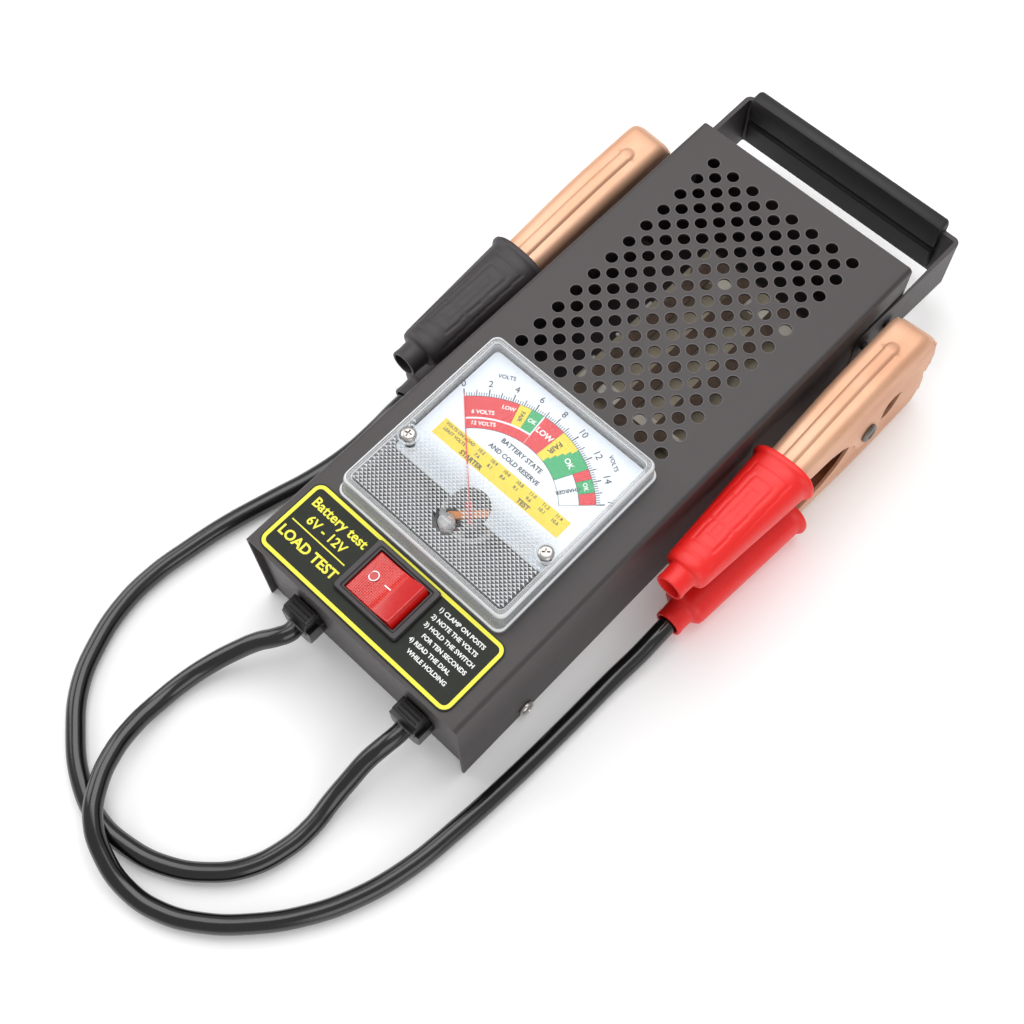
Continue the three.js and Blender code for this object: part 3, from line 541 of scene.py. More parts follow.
def vent_rims():
    """A thin ring round the edge of each hole, in a lighter colour that is a painted highlight where the edge
    catches the light.
    """
    middle, wide, tall = VENT_RADIUS + 0.12, 0.22, 0.17
    section = [(middle + wide * cos(b), CASE_Z - 0.04 + tall * sin(b)) for b in around(6)]
    rims = []
    for x, y in vents():
        rings = [[(x + r * cos(a), y + r * sin(a), z) for r, z in section] for a in around(20)]
        rims.append(skin(rings, loop=True))
    return merge(*rims)


piece("cover_shell", case_cover(), PAINT, stands_for=["top_cover"])
piece("vent_rims", vent_rims(), RIM, weld=False)
paint_node("base_tray", WALL, 0.3)
paint_node("handle_strap", PAINT, 0.35)


def screw_head(radius, height, recess):
    """A pan head standing on z 0 with a tapered cross recess."""
    dome = [(1, 0), (1, 0.35), (0.94, 0.62), (0.8, 0.84), (0.55, 0.96), (0.3, 1)]
    body = turned([(radius * r, height * z) for r, z in dome], 28)
    arm, wide = radius * 0.62, radius * 0.15
    cross = merge(*[
        skin([[(x * k, y * k, z) for x, y in [(-a, -b), (a, -b), (a, b), (-a, b)]]
              for k, z in ((0.45, height - recess), (1, height + 0.5))])
        for a, b in ((arm, wide), (wide, arm))
    ])
    things = []
    for label, shape in (("head", body), ("cross", cross)):
        thing = bpy.data.objects.new(label, closed_mesh(label, shape))
        scene.collection.objects.link(thing)
        things.append(thing)
    head, tool = things
    cutter = head.modifiers.new("recess", "BOOLEAN")
    cutter.operation = "DIFFERENCE"
    cutter.solver = "EXACT"
    cutter.use_self = True
    cutter.object = tool
    shape = baked(head)
    for thing in things:
        bpy.data.objects.remove(thing)
    return shape


PAN_HEAD = screw_head(3.25, 2.0, 1.3)
STRAP_HEAD = screw_head(4.2, 2.0, 1.4)
METER_HEAD = screw_head(3.0, 1.5, 1.1)
SHANK = turned([(1.6, -4), (1.6, 0.2)], 12)


def side_screw(name, head, side, x, y, z, angle, finish):
    turn = Matrix.Translation((side * x, y, z)) @ Matrix.Rotation(side * pi / 2, 4, "Y")
    turn = turn @ Matrix.Rotation(radians(angle), 4, "Z")
    piece(f"{name}_head", moved(merge(head, SHANK), turn), finish, stands_for=[name], sharp=28)


for side_name, side in (("left", -1), ("right", 1)):
    for end_name, y, angle in (("front", -93, 20), ("rear", 93, 65)):
        side_screw(f"cover_screw_{side_name}_{end_name}", PAN_HEAD, side, CASE_X + 0.3, y, 5, angle,
                   ZINC)
    for end_name, y, angle in (("front", 104, 35), ("rear", 118, 80)):
        side_screw(f"handle_screw_{side_name}_{end_name}", STRAP_HEAD, side, CASE_X + 2.6, y, 25, angle,
                   WALL)

# ---- Grip ----


def grip_shape():
    """The section is swept along X; its ends draw in as a moulding does."""
    section = [
        (161.3, 15), (162.6, 15), (163.5, 16), (163.5, 40.6), (163.0, 42.1), (161.5, 43), (157.8, 43),
        (156.7, 42.4), (156.3, 41.2), (156.3, 30.6), (156.8, 29.8), (158.2, 29.4), (158.2, 27.8),
        (156.8, 27.4), (156.3, 26.6), (156.3, 16), (157.0, 15), (158.7, 15), (158.7, 38.3), (161.3, 38.3),
    ]
    rings = []
    for x, inset in ((-51, 1.6), (-50.6, 0.6), (-49.6, 0.0), (45.6, 0.0), (46.6, 0.6), (47, 1.6)):
        ring = []
        for y, z in section:
            lift = -inset if z > 39 else (inset * 0.6 if z < 16.5 else 0)
            push = inset * 0.5 if y < 156.9 else (-inset * 0.5 if y > 162.9 else 0)
            ring.append((x, y + push, z + lift))
        rings.append(ring)
    return skin(rings)


piece("grip_moulding", grip_shape(), RUBBER, stands_for=["handle_grip"], bevel=0.25,
      sharp=50)
piece("grip_nub", turned([(0.2, 42.9), (1.1, 43), (1.0, 42.6)], 12, 44.7, 160.5), RUBBER)

# ---- Label ----

paint_node("label_plate", LABEL)
INK_Z = top_of("label_plate") + 0.03
LABEL_LOW, LABEL_HIGH = (-49.2, -124.2), (45.7, -92.0)


def drawn_in(low, high, inset):
    return (low[0] + inset, low[1] + inset), (high[0] - inset, high[1] - inset)


def frame_line(inset, width, radius):
    outer = rounded(*drawn_in(LABEL_LOW, LABEL_HIGH, inset), radius)
    inner = rounded(*drawn_in(LABEL_LOW, LABEL_HIGH, inset + width), radius - width)
    return plate_with_holes(outer, [inner], INK_Z - 0.02, INK_Z + 0.02)


piece("label_border", merge(
    frame_line(0.5, 1.5, 3.6),
    block((-45.6, -109.7, INK_Z - 0.02), (-18.6, -109.2, INK_Z + 0.02)),
    letters([("Battery test", -31.6, -99.2, 5.6, 0, 0.02), ("6V - 12V", -32, -105.6, 5.2, 0, 0.02),
             ("LOAD TEST", -32, -114.8, 5.5, 0, 0.03)], INK_Z, 0.04),
), YELLOW, weld=False)
STEPS = (("1) CLAMP ON POSTS", 0), ("2) NOTE THE VOLTS", 0), ("3) HOLD THE SWITCH", 0),
         ("FOR TEN SECONDS", 2.6), ("4) READ THE DIAL", 0), ("WHILE HOLDING", 2.6))
piece("label_steps", letters([(text, 17.3 + indent, -97.8 - 3.7 * row, 2.35, 0, 0.03)
                              for row, (text, indent) in enumerate(STEPS)], INK_Z, 0.04, "LEFT"),
      WHITE, weld=False)

# ---- Switch ----

SWITCH_X, SWITCH_Y, SWITCH_Z = -0.7, -105.7, 52.2


def switch_frame():
    """A bezel on the cover round an open well, with a solid body below."""
    low = 54.9
    rings = []
    for dx, dy, z, radius in (
            (15.65, 12.05, low, 1.4), (15.65, 12.05, low + 1.0, 1.4), (15.2, 11.6, low + 1.8, 1.2),
            (13.4, 10.4, low + 1.8, 0.8), (12.9, 9.9, low + 1.2, 0.6), (12.2, 9.4, low + 1.2, 0.5),
            (12.2, 9.4, 43, 0.5), (13.7, 10.6, 43, 0.5), (13.7, 10.6, low, 0.5)):
        corners = (SWITCH_X - dx, SWITCH_Y - dy), (SWITCH_X + dx, SWITCH_Y + dy)
        rings.append([(x, y, z) for x, y in rounded(*corners, radius, 3)])
    floor = block((SWITCH_X - 13.7, SWITCH_Y - 10.6, 35), (SWITCH_X + 13.7, SWITCH_Y + 10.6, 43))
    return merge(skin(rings, loop=True), floor)


def rocker_shapes():
    """The paddle, the small points on its raised half, and its two marks."""
    turn = Matrix.Translation((SWITCH_X, SWITCH_Y, SWITCH_Z)) @ Matrix.Rotation(radians(-10), 4, "Y")
    outline = [(-11.3, 4.9), (-6, 3.75), (0, 3.1), (4.2, 3.35), (10.9, 5.3), (11.9, 3.6), (11.9, 0.5),
               (11.2, -4), (5, -7), (-5, -7), (-11.2, -4), (-11.9, 0.5), (-11.9, 4.2)]
    paddle = moved(along_y(outline, -9.15, 9.15), turn)
    step = 0.78
    dots = []
    for i in range(-13, 5):
        for j in range(-11, 12):
            x, y = i * step - 0.3, j * step
            z = 3.1 - x * 0.155 if x < 0 else 3.12
            if hypot(x + 6.6, y - 0.6) > 2.6 and not (-2.2 < x < 2.6 and abs(y - 0.7) < 0.7):
                dots.append(shift(turned([(0.26, 0), (0.2, 0.16), (0.08, 0.2)], 6), x, y, z - 0.02))
    marks = merge(
        shift(plate_with_holes(circle(2.1, 32), [circle(1.65, 32)], 0, 0.1), -6.6, 0.6, 4.15),
        moved(block((-1.6, -0.25, 0), (1.6, 0.25, 0.12)), Matrix.Translation((0.1, 0.7, 3.14))),
    )
    return paddle, moved(merge(*dots), turn), moved(marks, turn)


ROCKER, ROCKER_DOTS, ROCKER_MARKS = rocker_shapes()
piece("switch_frame", switch_frame(), BEZEL, stands_for=["switch_housing"], bevel=0.15)
piece("rocker_paddle", ROCKER, CLEAR_RED, body="rocker", stands_for=["switch_rocker"],
      bevel=0.5, segments=3)
piece("rocker_dots", ROCKER_DOTS, DOT_RED, body="rocker", weld=False)
piece("rocker_marks", ROCKER_MARKS, WHITE, body="rocker", weld=False)
paint_node("switch_terminal_supply", BRASS, 0.1)
paint_node("switch_terminal_load", BRASS, 0.1)

# ---- Meter ----

METER_BASE = ((-42.1, -91.3), (39.7, -7.0))
METER_TOP = ((-40.7, -88.5), (38.3, -8.0))
PIVOT = (FACE_X, -63.8)
ADJUSTER_Y = -74.9
DIAL_SCREW_X, DIAL_SCREW_Y = 33.9, -60
POINT = 1.02
DIAL_Z = top_of("meter_dial")
DIAL_INK = DIAL_Z + 0.04


def meter_ring(level, inset, z, radius):
    return [(x, y, z) for x, y in rounded(*drawn_in(*level, inset), radius, 6)]


def meter_walls():
    """The clear wall: a stepped foot, sloping sides and a raised lip, open in the middle."""
    return skin([
        meter_ring(METER_BASE, 0, 54.3, 3.6), meter_ring(METER_BASE, 0, 55.7, 3.6),
        meter_ring(METER_BASE, 0.7, 56.3, 3.2), meter_ring(METER_TOP, -0.4, 62.6, 3.2),
        meter_ring(METER_TOP, -0.1, 63.5, 3.1), meter_ring(METER_TOP, 0.5, 64.0, 2.8),
        meter_ring(METER_TOP, 1.9, 64.0, 2.2), meter_ring(METER_TOP, 2.2, 63.6, 2.0),
        meter_ring(METER_TOP, 2.2, 62.3, 2.0), meter_ring(METER_BASE, 1.9, 54.3, 2.4),
    ], loop=True)


def meter_sheet():
    outline = [(x, y) for x, y, z in meter_ring(METER_TOP, 2.25, 0, 2.0)]
    hole = circle(3.7, 28, PIVOT[0], ADJUSTER_Y)
    return plate_with_holes(outline, [hole], 62.6, 63.35)


def meter_texture():
    """Small four-sided points in a grid turned by 45 degrees, over the front of the window."""
    low, high = (METER_TOP[0][0] + 3.0, METER_TOP[0][1] + 3.0), (METER_TOP[1][0] - 3.0, -54.6)
    base, peak, clear = 63.42, 64.05, 5.2
    shapes = []
    for i in range(int((high[0] - low[0]) / POINT) + 1):
        for j in range(int((high[1] - low[1]) / POINT) + 1):
            x, y = low[0] + i * POINT, low[1] + j * POINT
            near_screw = min(hypot(x - FACE_X - s * DIAL_SCREW_X, y - DIAL_SCREW_Y) for s in (-1, 1)) < clear
            if (i + j) % 2 or near_screw or hypot(x - PIVOT[0], y - ADJUSTER_Y) < clear:
                continue
            ring = [(x - POINT, y), (x, y - POINT), (x + POINT, y), (x, y + POINT)]
            top = [(x + (px - x) * 0.14, y + (py - y) * 0.14) for px, py in ring]
            shapes.append(skin([[(px, py, base) for px, py in ring], [(px, py, peak) for px, py in top]]))
    return merge(*shapes)


def catch_light(thing, chosen):
    """Gives the chosen facets a near-white, partly see-through colour: painted highlights where they would
    turn the light back.
    """
    thing.data.materials.append(PAINTED_GLINT)
    for facet in thing.data.polygons:
        if chosen(facet.normal):
            facet.material_index = 1


# Dial: where zero lies, the turn per volt, the rings' radii, and the readings where the colours change
ZERO_ANGLE, VOLT_ANGLE, FULL = 136.6, 5.78, 16
RING_IN, INNER_TOP, OUTER_IN, CHARGE_IN, RING_OUT = 32, 35.8, 36.6, 39.2, 45.2
SIX_FAIR, SIX_GOOD, SIX_END = 4.64, 5.74, 6.85
TWELVE_FAIR, TWELVE_END, CHARGE_GOOD, CHARGE_HIGH = 9.02, 12.82, 13.72, 14.92


def band(r0, r1, v0, v1, z=DIAL_INK, thick=0.03):
    """A piece of an annulus on the dial, between two readings."""
    steps = max(2, int(abs(v1 - v0) * 4))
    rings = []
    for i in range(steps + 1):
        a = radians(ZERO_ANGLE - (v0 + (v1 - v0) * i / steps) * VOLT_ANGLE)
        rings.append([(PIVOT[0] + r * cos(a), PIVOT[1] + r * sin(a), h)
                      for r, h in ((r0, z), (r1, z), (r1, z + thick), (r0, z + thick))])
    return skin(rings)


def on_dial(radius, volts):
    a = radians(ZERO_ANGLE - volts * VOLT_ANGLE)
    return PIVOT[0] + radius * cos(a), PIVOT[1] + radius * sin(a), degrees(a) - 90


def dial_ticks():
    marks = []
    for i in range(81):
        volts = i / 5
        if i % 10 == 0:
            r1, half = 48.4, 0.045
        elif i % 5 == 0:
            r1, half = 47.9, 0.036
        else:
            r1, half = 46.8, 0.026
        marks.append(band(45.4, r1, volts - half, volts + half, DIAL_INK + 0.02))
    edge, hair = 0.16, 0.012
    marks.append(band(RING_OUT, RING_OUT + edge, 0, FULL, DIAL_INK + 0.02))
    marks.append(band(RING_IN - edge, RING_IN, 0, FULL, DIAL_INK + 0.02))
    for v, r0 in ((SIX_FAIR, OUTER_IN), (SIX_GOOD, OUTER_IN), (TWELVE_FAIR, RING_IN), (TWELVE_END, RING_IN),
                  (CHARGE_GOOD, CHARGE_IN), (CHARGE_HIGH, CHARGE_IN), (FULL, RING_IN)):
        marks.append(band(r0, RING_OUT, v - hair, v + hair, DIAL_INK + 0.04))
    marks.append(band(CHARGE_IN - 0.1, CHARGE_IN + 0.1, TWELVE_END, FULL, DIAL_INK + 0.04))
    return merge(*marks)


def dial_words():
    items = []
    for volts in range(0, 17, 2):
        x, y, angle = on_dial(50.6, volts)
        items.append((str(volts), x, y, 3.8, angle, 0.0))
    for volts in (3.0, 13.0):
        x, y, angle = on_dial(54.6, volts)
        items.append(("VOLTS", x, y, 2.3, angle, 0.01))
    items.append(("BATTERY STATE", -1.6, -36.2, 2.7, 0, 0.02))
    items.append(("AND COLD RESERVE", -1.4, -40.6, 2.6, 0, 0.02))
    for i in range(7):
        x = -13.5 + i * 6.4
        items.append((f"{10.2 + i * 0.2:.1f}", x, -44.9, 1.9, 0, 0.02))
        items.append((f"{7.6 + i * 0.5:.1f}", x, -47.2, 1.9, 0, 0.02))
    items.append(("VOLTS ON LOAD", -24, -44.9, 1.8, 0, 0.02))
    items.append(("LEAST VOLTS", -25, -47.2, 1.8, 0, 0.02))
    items.append(("STARTER", -14, -50.0, 2.6, 0, 0.03))
    items.append(("TEST", 12, -50.0, 2.6, 0, 0.03))
    for radius, volts, size in ((40.9, 5.2, 2.3), (38.8, 9.65, 3.0)):
        x, y, angle = on_dial(radius, volts)
        items.append(("FAIR", x, y, size, angle - 90, 0.02))
    x, y, angle = on_dial(35.8, 14.4)
    items.append(("CHARGER", x, y, 2.0, angle - 90, 0.02))
    return letters(items, DIAL_INK + 0.05, 0.03)


def band_words():
    items = []
    for text, radius, volts, size in (
            ("6 VOLTS", 38.6, 1.7, 2.3), ("12 VOLTS", 33.9, 1.9, 2.2), ("LOW", 42.2, 3.9, 2.2),
            ("OK", 41, 6.3, 2.3), ("LOW", 39.5, 8.0, 3.2), ("OK", 42.3, 14.3, 2.2), ("OK", 39.6, 11.7, 3.0)):
        x, y, angle = on_dial(radius, volts)
        items.append((text, x, y, size, angle, 0.03))
    return letters(items, DIAL_INK + 0.07, 0.03)


def dial_red():
    return merge(band(OUTER_IN, RING_OUT, 0, SIX_FAIR), band(RING_IN, INNER_TOP, 0, 6.95),
                 band(RING_IN, RING_OUT, 7.0, TWELVE_FAIR),
                 band(CHARGE_IN, RING_OUT, TWELVE_END, CHARGE_GOOD),
                 band(CHARGE_IN, RING_OUT, CHARGE_HIGH, FULL))


def dial_steps(low):
    """The weak and good zones meet in steps that climb outwards."""
    shapes = []
    for i in range(5):
        edge = 10.1 + i * 0.22
        r0, r1 = RING_IN + i * 2.64, RING_IN + (i + 1) * 2.64
        shapes.append(band(r0, r1, TWELVE_FAIR, edge) if low else band(r0, r1, edge, TWELVE_END))
    return merge(*shapes)


def needle():
    """Zero lies to the left, so the needle is drawn along that direction."""
    turn = Matrix.Translation((PIVOT[0], PIVOT[1], 0)) @ Matrix.Rotation(radians(ZERO_ANGLE), 4, "Z")
    z = 58.7
    blade = skin([[(x, -w, z), (x, w, z), (x, w * 0.5, z + 0.35), (x, -w * 0.5, z + 0.35)]
                  for x, w in ((-7, 0.5), (-2, 0.6), (4, 0.34), (20, 0.26), (40, 0.2), (45.6, 0.16))])
    hub = turned([(0.6, 51.3), (0.6, 57.8), (1.5, 58.0), (1.5, 58.8), (1.0, 59.4), (0.4, 59.7)], 20)
    weight = block((-7.6, -0.9, 58.6), (-6.2, 0.9, 59.3))
    return moved(merge(blade, hub, weight), turn)


for node, finish, bevel in (
        ("meter_housing", MOULD, 0.3), ("meter_dial", CARD, 0.08), ("meter_magnet", IRON, 0.3),
        ("meter_coil", COIL, 0.3), ("meter_stud_left", BRASS, 0.2), ("meter_stud_right", BRASS, 0.2)):
    paint_node(node, finish, bevel)

# The sloped bevel faces of the clear walls and chosen facets of the window points get painted highlights.
catch_light(piece("meter_clear_walls", meter_walls(), CLEAR_WALL,
                  stands_for=["meter_cover"], sharp=25), lambda n: 0.3 < n.z < 0.93)
piece("meter_window", meter_sheet(), CLEAR_TOP)
catch_light(piece("meter_window_points", meter_texture(), CLEAR_TOP, weld=False,
                  sharp=5), lambda n: n.y - n.x > 0.6 or n.x + n.y > 0.6 or n.z > 0.9)
piece("dial_reds", dial_red(), DIAL_RED, weld=False)
piece("dial_yellows", merge(band(OUTER_IN, RING_OUT, SIX_FAIR, SIX_GOOD), dial_steps(True),
                            block((-32.6, -51.4, DIAL_INK), (29.6, -43.6, DIAL_INK + 0.03))),
      DIAL_YELLOW, weld=False)
piece("dial_greens", merge(band(OUTER_IN, RING_OUT, SIX_GOOD, SIX_END), dial_steps(False),
                           band(CHARGE_IN, RING_OUT, CHARGE_GOOD, CHARGE_HIGH)),
      DIAL_GREEN, weld=False)
piece("dial_marks", merge(dial_ticks(), dial_words()), DIAL_BLACK, weld=False)
piece("dial_band_words", band_words(), WHITE, weld=False)
piece("needle", needle(), POINTER, body="movement", stands_for=["meter_pointer"])

for side_name, side, angle in (("left", -1, 12), ("right", 1, 40)):
    x, y = FACE_X + side * DIAL_SCREW_X, DIAL_SCREW_Y
    turn = Matrix.Translation((x, y, 63.4)) @ Matrix.Rotation(radians(angle), 4, "Z")
    screw = merge(METER_HEAD, turned([(1.5, -8), (1.5, 0.1)], 12))
    piece(f"meter_screw_{side_name}_head", moved(screw, turn), ZINC,
          stands_for=[f"meter_screw_{side_name}"], sharp=28)
    section = ((3.5, 63.4), (4.3, 63.4), (4.2, 64.2), (3.6, 64.2))
    ring = skin([[(x + r * cos(a), y + r * sin(a), z) for r, z in section] for a in around(32)], loop=True)
    piece(f"meter_screw_cup_{side_name}", ring, CLEAR_WALL)

knob = turned([(3.2, 60.5), (3.2, 63.9), (2.9, 64.5), (2.4, 64.7), (2.2, 64.2), (0.4, 64.1)], 32)
blade = block((-2.4, -0.45, 64.0), (2.4, 0.45, 64.7))
piece("zero_adjuster_knob", shift(merge(knob, blade), PIVOT[0], ADJUSTER_Y, 0), CLEAR_WALL, body="zero_screw",
      stands_for=["zero_adjuster"])

# ---- Load resistor and wiring ----

for node, finish, bevel in (
        ("load_board", BOARD, 0.2), ("load_bar_front", CERAMIC, 0.4), ("load_bar_rear", CERAMIC, 0.4),
        ("load_ribbon", RIBBON, 0.1), ("load_post_supply", ZINC, 0.3), ("load_post_return", ZINC, 0.3),
        ("lead_supply", LEAD, 0), ("lead_load", LEAD, 0), ("lead_return", JACKET, 0),
        ("meter_lead_plus", LEAD, 0), ("meter_lead_minus", JACKET, 0)):
    paint_node(node, finish, bevel)

# ---- Strain reliefs ----


RELIEF_X, RELIEF_Z = 28.7, 16.5


def rings_along_y(x, z, stations, count):
    """Circles about a line along Y: each station is (y, radius)."""
    return skin([[(x + r * cos(a), y, z + r * sin(a)) for a in around(count)] for y, r in stations])


def relief_shapes(x):
    """A shell with a collar and a locking wedge, a neck behind it and a sleeve round the cable."""
    z = RELIEF_Z
    bottom = arc_oval(x, z - 3.8, 7.5, 7.6)
    shell = along_y([*bottom, (x + 7.6, z + 3.6), (x - 7.6, z + 3.6)], -131.2, -123.9)
    collar = along_y([(x + 7.85 * cos(a), z + 10.2 * sin(a) - 1) for a in around(32)], -125.8, -123.85)
    wedge = along_x([(-131.5, z + 2.6), (-131.5, z + 6.8), (-130.0, z + 9.6), (-124.2, z + 9.9),
                     (-124.2, z + 2.6)], x - 6.2, x + 6.2)
    ribs = [along_x([(y, z + 9.2), (y, z + 10), (y + 0.8, z + 10), (y + 0.8, z + 9.2)], x - 4.8, x + 4.8)
            for y in (-129.4, -127.6, -125.8)]
    sleeve = rings_along_y(x, z, ((-131.1, 5.4), (-131.55, 5.1), (-131.6, 4.0), (-131.1, 3.9)), 28)
    neck = rings_along_y(x, z, ((-123.9, 7.4), (-121, 7.4), (-119.2, 6.6)), 24)
    return merge(shell, collar, wedge, neck, sleeve), merge(*ribs)


def arc_oval(x, z, half_width, half_height):
    """The lower half of an oval, from left to right."""
    turns = [radians(180 + i * 15) for i in range(13)]
    return [(x + half_width * cos(a), z + half_height * sin(a)) for a in turns]


for side_name, side in (("left", -1), ("right", 1)):
    body, ribs = relief_shapes(side * RELIEF_X)
    piece(f"relief_{side_name}", body, MOULD,
          stands_for=[f"strain_relief_{side_name}"], bevel=0.5, segments=3, weld=False)
    piece(f"relief_{side_name}_ribs", ribs, MOULD, bevel=0.2, weld=False)

# ---- Clamps ----


def between(table, v):
    """Straight-line reading of a table of (v, value)."""
    if v <= table[0][0]:
        return table[0][1]
    for (v0, a), (v1, b) in zip(table, table[1:]):
        if v <= v1:
            return a + (b - a) * (v - v0) / (v1 - v0)
    return table[-1][1]


def smooth(table, v, reach=2.5):
    return sum(between(table, v + reach * (i - 3) / 3) for i in range(7)) / 7


NOSE_V, RIB_END = 39.8, 20
SPINE = [(-92, 18.4), (-60, 19.4), (-36, 20.8), (-12, 23.0), (4, 24), (33, 24), (36.5, 23.0), (38.6, 20.6),
         (NOSE_V, 16.4)]
HALF_WIDTH = [(-92, 6.2), (-36, 8.7), (-10, 9.1), (30, 9.2), (NOSE_V, 9.2)]


def cheek(v):
    """Lower edge of the cheek: handle, ear round the rivet, oval mouth, teeth."""
    if v < -39:
        return 12.2 + (v + 39) * -0.012
    if v < -8:
        return between([(-39, 12.2), (-24, 10.8), (-16, 7.8), (-11.5, 4.0), (-8, 0)], v)
    if v < 8:
        return -sqrt(max(0.0, 64 - v * v)) * 0.9
    if v < 23:
        return between([(8, 0), (9.2, 4.2), (11.5, 6.6), (15, 7.6), (18.5, 6.4), (21, 3.9), (23, 1.2)], v)
    tooth = abs((v - 23) % 3.4 / 3.4 - 0.5) * 2
    return 0.8 + 1.9 * (1 - tooth) if v < 37 else between([(37, 2.4), (NOSE_V, 9)], v)


def jaw_section(v, width_scale, sheet, rib):
    """Outside and inside of the folded sheet at v, with a long pressed rib of the given height on top."""
    top, half, low = smooth(SPINE, v), smooth(HALF_WIDTH, v) * width_scale, cheek(v)
    corner = 4.2 * width_scale
    bend = top - corner
    low = min(low, bend - 0.5)
    rib_half = 2.6
    if v >= RIB_END:
        fade = max(0.0, 1 - ((v - RIB_END) / 5) ** 2)
        rib = rib * fade
        rib_half = rib_half * sqrt(fade) + 0.3

    def rise(x):
        along = abs(x) / rib_half
        return rib * (1 if along < 0.72 else max(0.0, (1.12 - along) / 0.4))

    middle = low + 0.5 * (bend - low)
    round_off = [(corner * cos(radians(a)), corner * sin(radians(a))) for a in (75, 60, 45, 30, 15)]
    flat = [0.9, 1.8, 2.2, 2.6, 2.9, 3.2, half - corner]
    right = [(0, top + rise(0)), *[(x, top + rise(x)) for x in flat],
             *[(half - corner + dx, bend + dz) for dx, dz in round_off],
             (half, bend), (half + 0.15, middle), (half + 0.25, low)]
    outer = [(-x, z) for x, z in reversed(right[1:])] + right
    narrow = (half - sheet) / half
    inner = []
    for x, z in reversed(outer):
        if z > bend and abs(x) > half - corner:
            inner.append((x * narrow, bend + (z - bend) * (corner - sheet) / corner))
        elif z > bend:
            inner.append((x * narrow, z - sheet))
        else:
            inner.append((x * narrow, z))
    return [(x, v, z) for x, z in outer + inner]


def jaw_shape(width_scale, sheet, rib):
    stations = [-90 + i * 2.0 for i in range(25)] + [-40 + i * 0.55 for i in range(146)]
    stations = [v for v in stations if v <= NOSE_V]
    shell = skin([jaw_section(v, width_scale, sheet, rib) for v in stations])
    half = smooth(HALF_WIDTH, 38) * width_scale
    nose = skin([[(-half, y, z), (half, y, z), (half, y + 1.0, z), (-half, y + 1.0, z)]
                 for y, z in ((38.4, 3.0), (38.6, 10.0), (38.7, 17.0))])
    return merge(shell, nose)


def superoval(v, half_width, half_height, w, power, count):
    ring = []
    for a in around(count):
        c, s = cos(a), sin(a)
        x = (abs(c) ** (2 / power)) * half_width * (1 if c > 0 else -1)
        z = (abs(s) ** (2 / power)) * half_height * (1 if s > 0 else -1)
        ring.append((x, v, w + z))
    return ring


BOOT = [  # v, half width, half height, height of the middle, squareness
    (-41.2, 12.6, 9.0, 14.3, 2.5), (-41.0, 13.2, 9.5, 14.2, 2.5), (-41.5, 13.9, 9.8, 14.1, 2.5),
    (-42.6, 13.9, 9.9, 14.1, 2.5), (-43.5, 13.3, 9.7, 14.1, 2.5), (-44.0, 12.4, 9.3, 14.2, 2.5),
    (-46, 12.3, 9.2, 14.3, 2.5), (-96.4, 9.0, 7.3, 16.2, 2.2), (-98.2, 8.6, 6.9, 16.3, 2.1),
    (-98.9, 7.4, 6.5, 16.4, 2), (-99.1, 6.2, 6.0, 16.5, 2), (-100, 5.8, 5.8, 16.5, 2),
    (-104.2, 5.6, 5.6, 16.5, 2), (-106.4, 5.8, 5.8, 16.5, 2), (-107, 5.6, 5.6, 16.5, 2),
    (-107, 4.6, 4.6, 16.5, 2), (-103, 4.2, 4.2, 16.5, 2), (-91, 4.2, 4.2, 16.5, 2),
    (-89.5, 6.9, 4.9, 15.6, 4), (-44, 9.9, 7.1, 15.0, 4), (-41.4, 10.4, 7.5, 14.8, 3.4),
]


def boot_shape():
    """Profile stations joined smoothly, with shallow nested-rectangle grooves in the grip area."""
    count = 120
    stations = []
    for first, last in zip(BOOT, BOOT[1:] + BOOT[:1]):
        long = abs(last[0] - first[0]) > 30
        steps = 90 if long and last[0] < first[0] else (8 if long else 1)
        for i in range(steps):
            stations.append(tuple(a + (b - a) * i / steps for a, b in zip(first, last)))
    rings = []
    for v, half_width, half_height, w, power in stations:
        ring = superoval(v, half_width, half_height, w, power, count)
        if half_width > 8.6 and -96 < v < -46:
            ring = [groove(p, w) for p in ring]
        rings.append(ring)
    return skin(rings, loop=True)


def groove(point, w):
    """Lowers a point of the boot's upper side where one of its shallow grooves runs."""
    x, v, z = point
    if z < w:
        return point
    along, across = v + 71, x
    depth = 0.0
    for half_long, half_across in ((22.5, 7.6), (17.5, 4.6), (12.5, 2.0)):
        dl, da = abs(abs(along) - half_long), abs(abs(across) - half_across)
        on_long = dl < 0.55 and abs(across) < half_across + 0.5
        on_side = da < 0.45 and abs(along) < half_long + 0.5
        if on_long or on_side:
            depth = 0.22
    if abs(abs(along) - 6) < 0.5 and abs(across) < 7.6:
        depth = 0.22
    return x * (1 - depth * 0.04), v, z - depth


def tooth_pad(width):
    """A black toothed strip inside the tip: painted shade standing for the dark inside of the jaw."""
    outline = [(24.5, 1.4), (26.2, 3.0), (27.9, 1.4), (29.6, 3.0), (31.3, 1.4), (33, 3.0), (34.7, 1.4),
               (36.4, 3.4), (36.9, 9.0), (33, 9.5), (25, 8.0)]
    return along_x(outline, -width, width)


def pin_shape():
    profile = [(2.0, 8.0), (4.0, 9.35), (4.2, 10.2), (3.4, 10.9), (2.4, 11.0), (2.0, 10.6), (0.4, 10.6)]
    half = turned(profile, 24)
    right = moved(half, Matrix.Rotation(pi / 2, 4, "Y"))
    left = moved(half, Matrix.Rotation(-pi / 2, 4, "Y"))
    rod = moved(turned([(2.3, -8.4), (2.3, 8.4)], 20), Matrix.Rotation(pi / 2, 4, "Y"))
    return merge(right, left, rod)


UPPER_JAW = jaw_shape(1.0, 1.2, 1.0)
LOWER_JAW = jaw_shape(0.82, 1.2, 0.5)
BOOT_SHAPE = boot_shape()

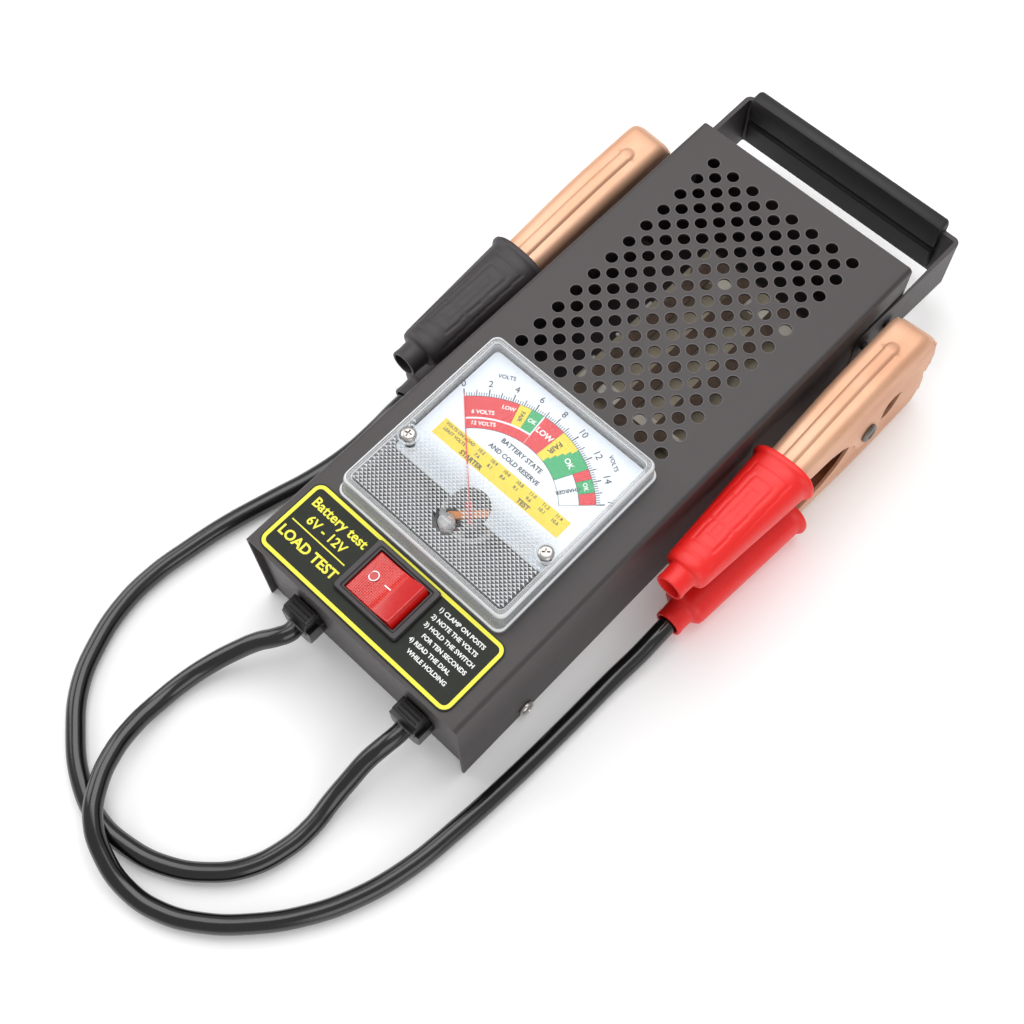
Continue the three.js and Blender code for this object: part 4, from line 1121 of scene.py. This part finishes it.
for clamp, side, vinyl in (("red", 1, RED_VINYL), ("black", -1, BLACK_VINYL)):
    upper, lower = clamp_frame(side), clamp_frame(side, True)
    moving = f"{clamp}_upper_half"
    piece(f"{clamp}_upper_jaw_shell", UPPER_JAW, COPPER, body=moving,
          stands_for=[f"{clamp}_jaw_upper"], place=upper, sharp=40)
    piece(f"{clamp}_lower_jaw_shell", LOWER_JAW, COPPER,
          stands_for=[f"{clamp}_jaw_lower"], place=lower, sharp=40)
    piece(f"{clamp}_upper_boot", BOOT_SHAPE, vinyl, body=moving,
          stands_for=[f"{clamp}_boot_upper"], place=upper, sharp=60)
    piece(f"{clamp}_lower_boot", BOOT_SHAPE, vinyl, stands_for=[f"{clamp}_boot_lower"],
          place=lower, sharp=60)
    # Black strips inside the upper and lower jaws: painted shade.
    piece(f"{clamp}_upper_shade_teeth", tooth_pad(7.4), MOULD, body=moving, place=upper,
          bevel=0.1)
    piece(f"{clamp}_lower_shade_teeth", tooth_pad(5.9), MOULD, place=lower, bevel=0.1)
    piece(f"{clamp}_rivet", pin_shape(), SPRING, stands_for=[f"{clamp}_pivot_pin"],
          place=upper)
    paint_node(f"{clamp}_spring", SPRING)

# ---- Floor and light ----

FLOOR = surface("floor", (0.97, 0.97, 0.97), 0.7, grain=60, vary=0.004, rough_vary=0.03, bump=0,
                Emission_Color=(1, 1, 1, 1), Emission_Strength=0.1)
FLOOR_HALF, FLOOR_LEVEL = 3.2, -0.00004
floor_mesh = bpy.data.meshes.new("floor")
floor_mesh.from_pydata([(x * FLOOR_HALF, y * FLOOR_HALF, FLOOR_LEVEL)
                        for x, y in ((-1, -1), (1, -1), (1, 1), (-1, 1))], [], [(0, 1, 2, 3)])
floor_mesh.materials.append(FLOOR)
floor = bpy.data.objects.new("floor", floor_mesh)
scene.collection.objects.link(floor)


def area_light(name, position, side, power):
    """A square soft light that looks at the object."""
    data = bpy.data.lights.new(name, "AREA")
    data.shape = "RECTANGLE"
    data.size = data.size_y = side
    data.energy = power
    light = bpy.data.objects.new(name, data)
    scene.collection.objects.link(light)
    light.location = position
    light.rotation_euler = (-Vector(position)).to_track_quat("-Z", "Y").to_euler()


area_light("overhead", (-0.25, 0.35, 1.1), 1.1, 9.5)
area_light("left_bank", (-1.0, -0.3, 0.6), 0.8, 4.5)
area_light("right_fill", (0.9, -0.5, 0.5), 0.7, 2.5)

world = bpy.data.worlds.new("studio")
world.use_nodes = True
background = world.node_tree.nodes["Background"]
background.inputs["Color"].default_value = (1, 1, 1, 1)
background.inputs["Strength"].default_value = 0.5
scene.world = world
scene.view_settings.view_transform = "Standard"
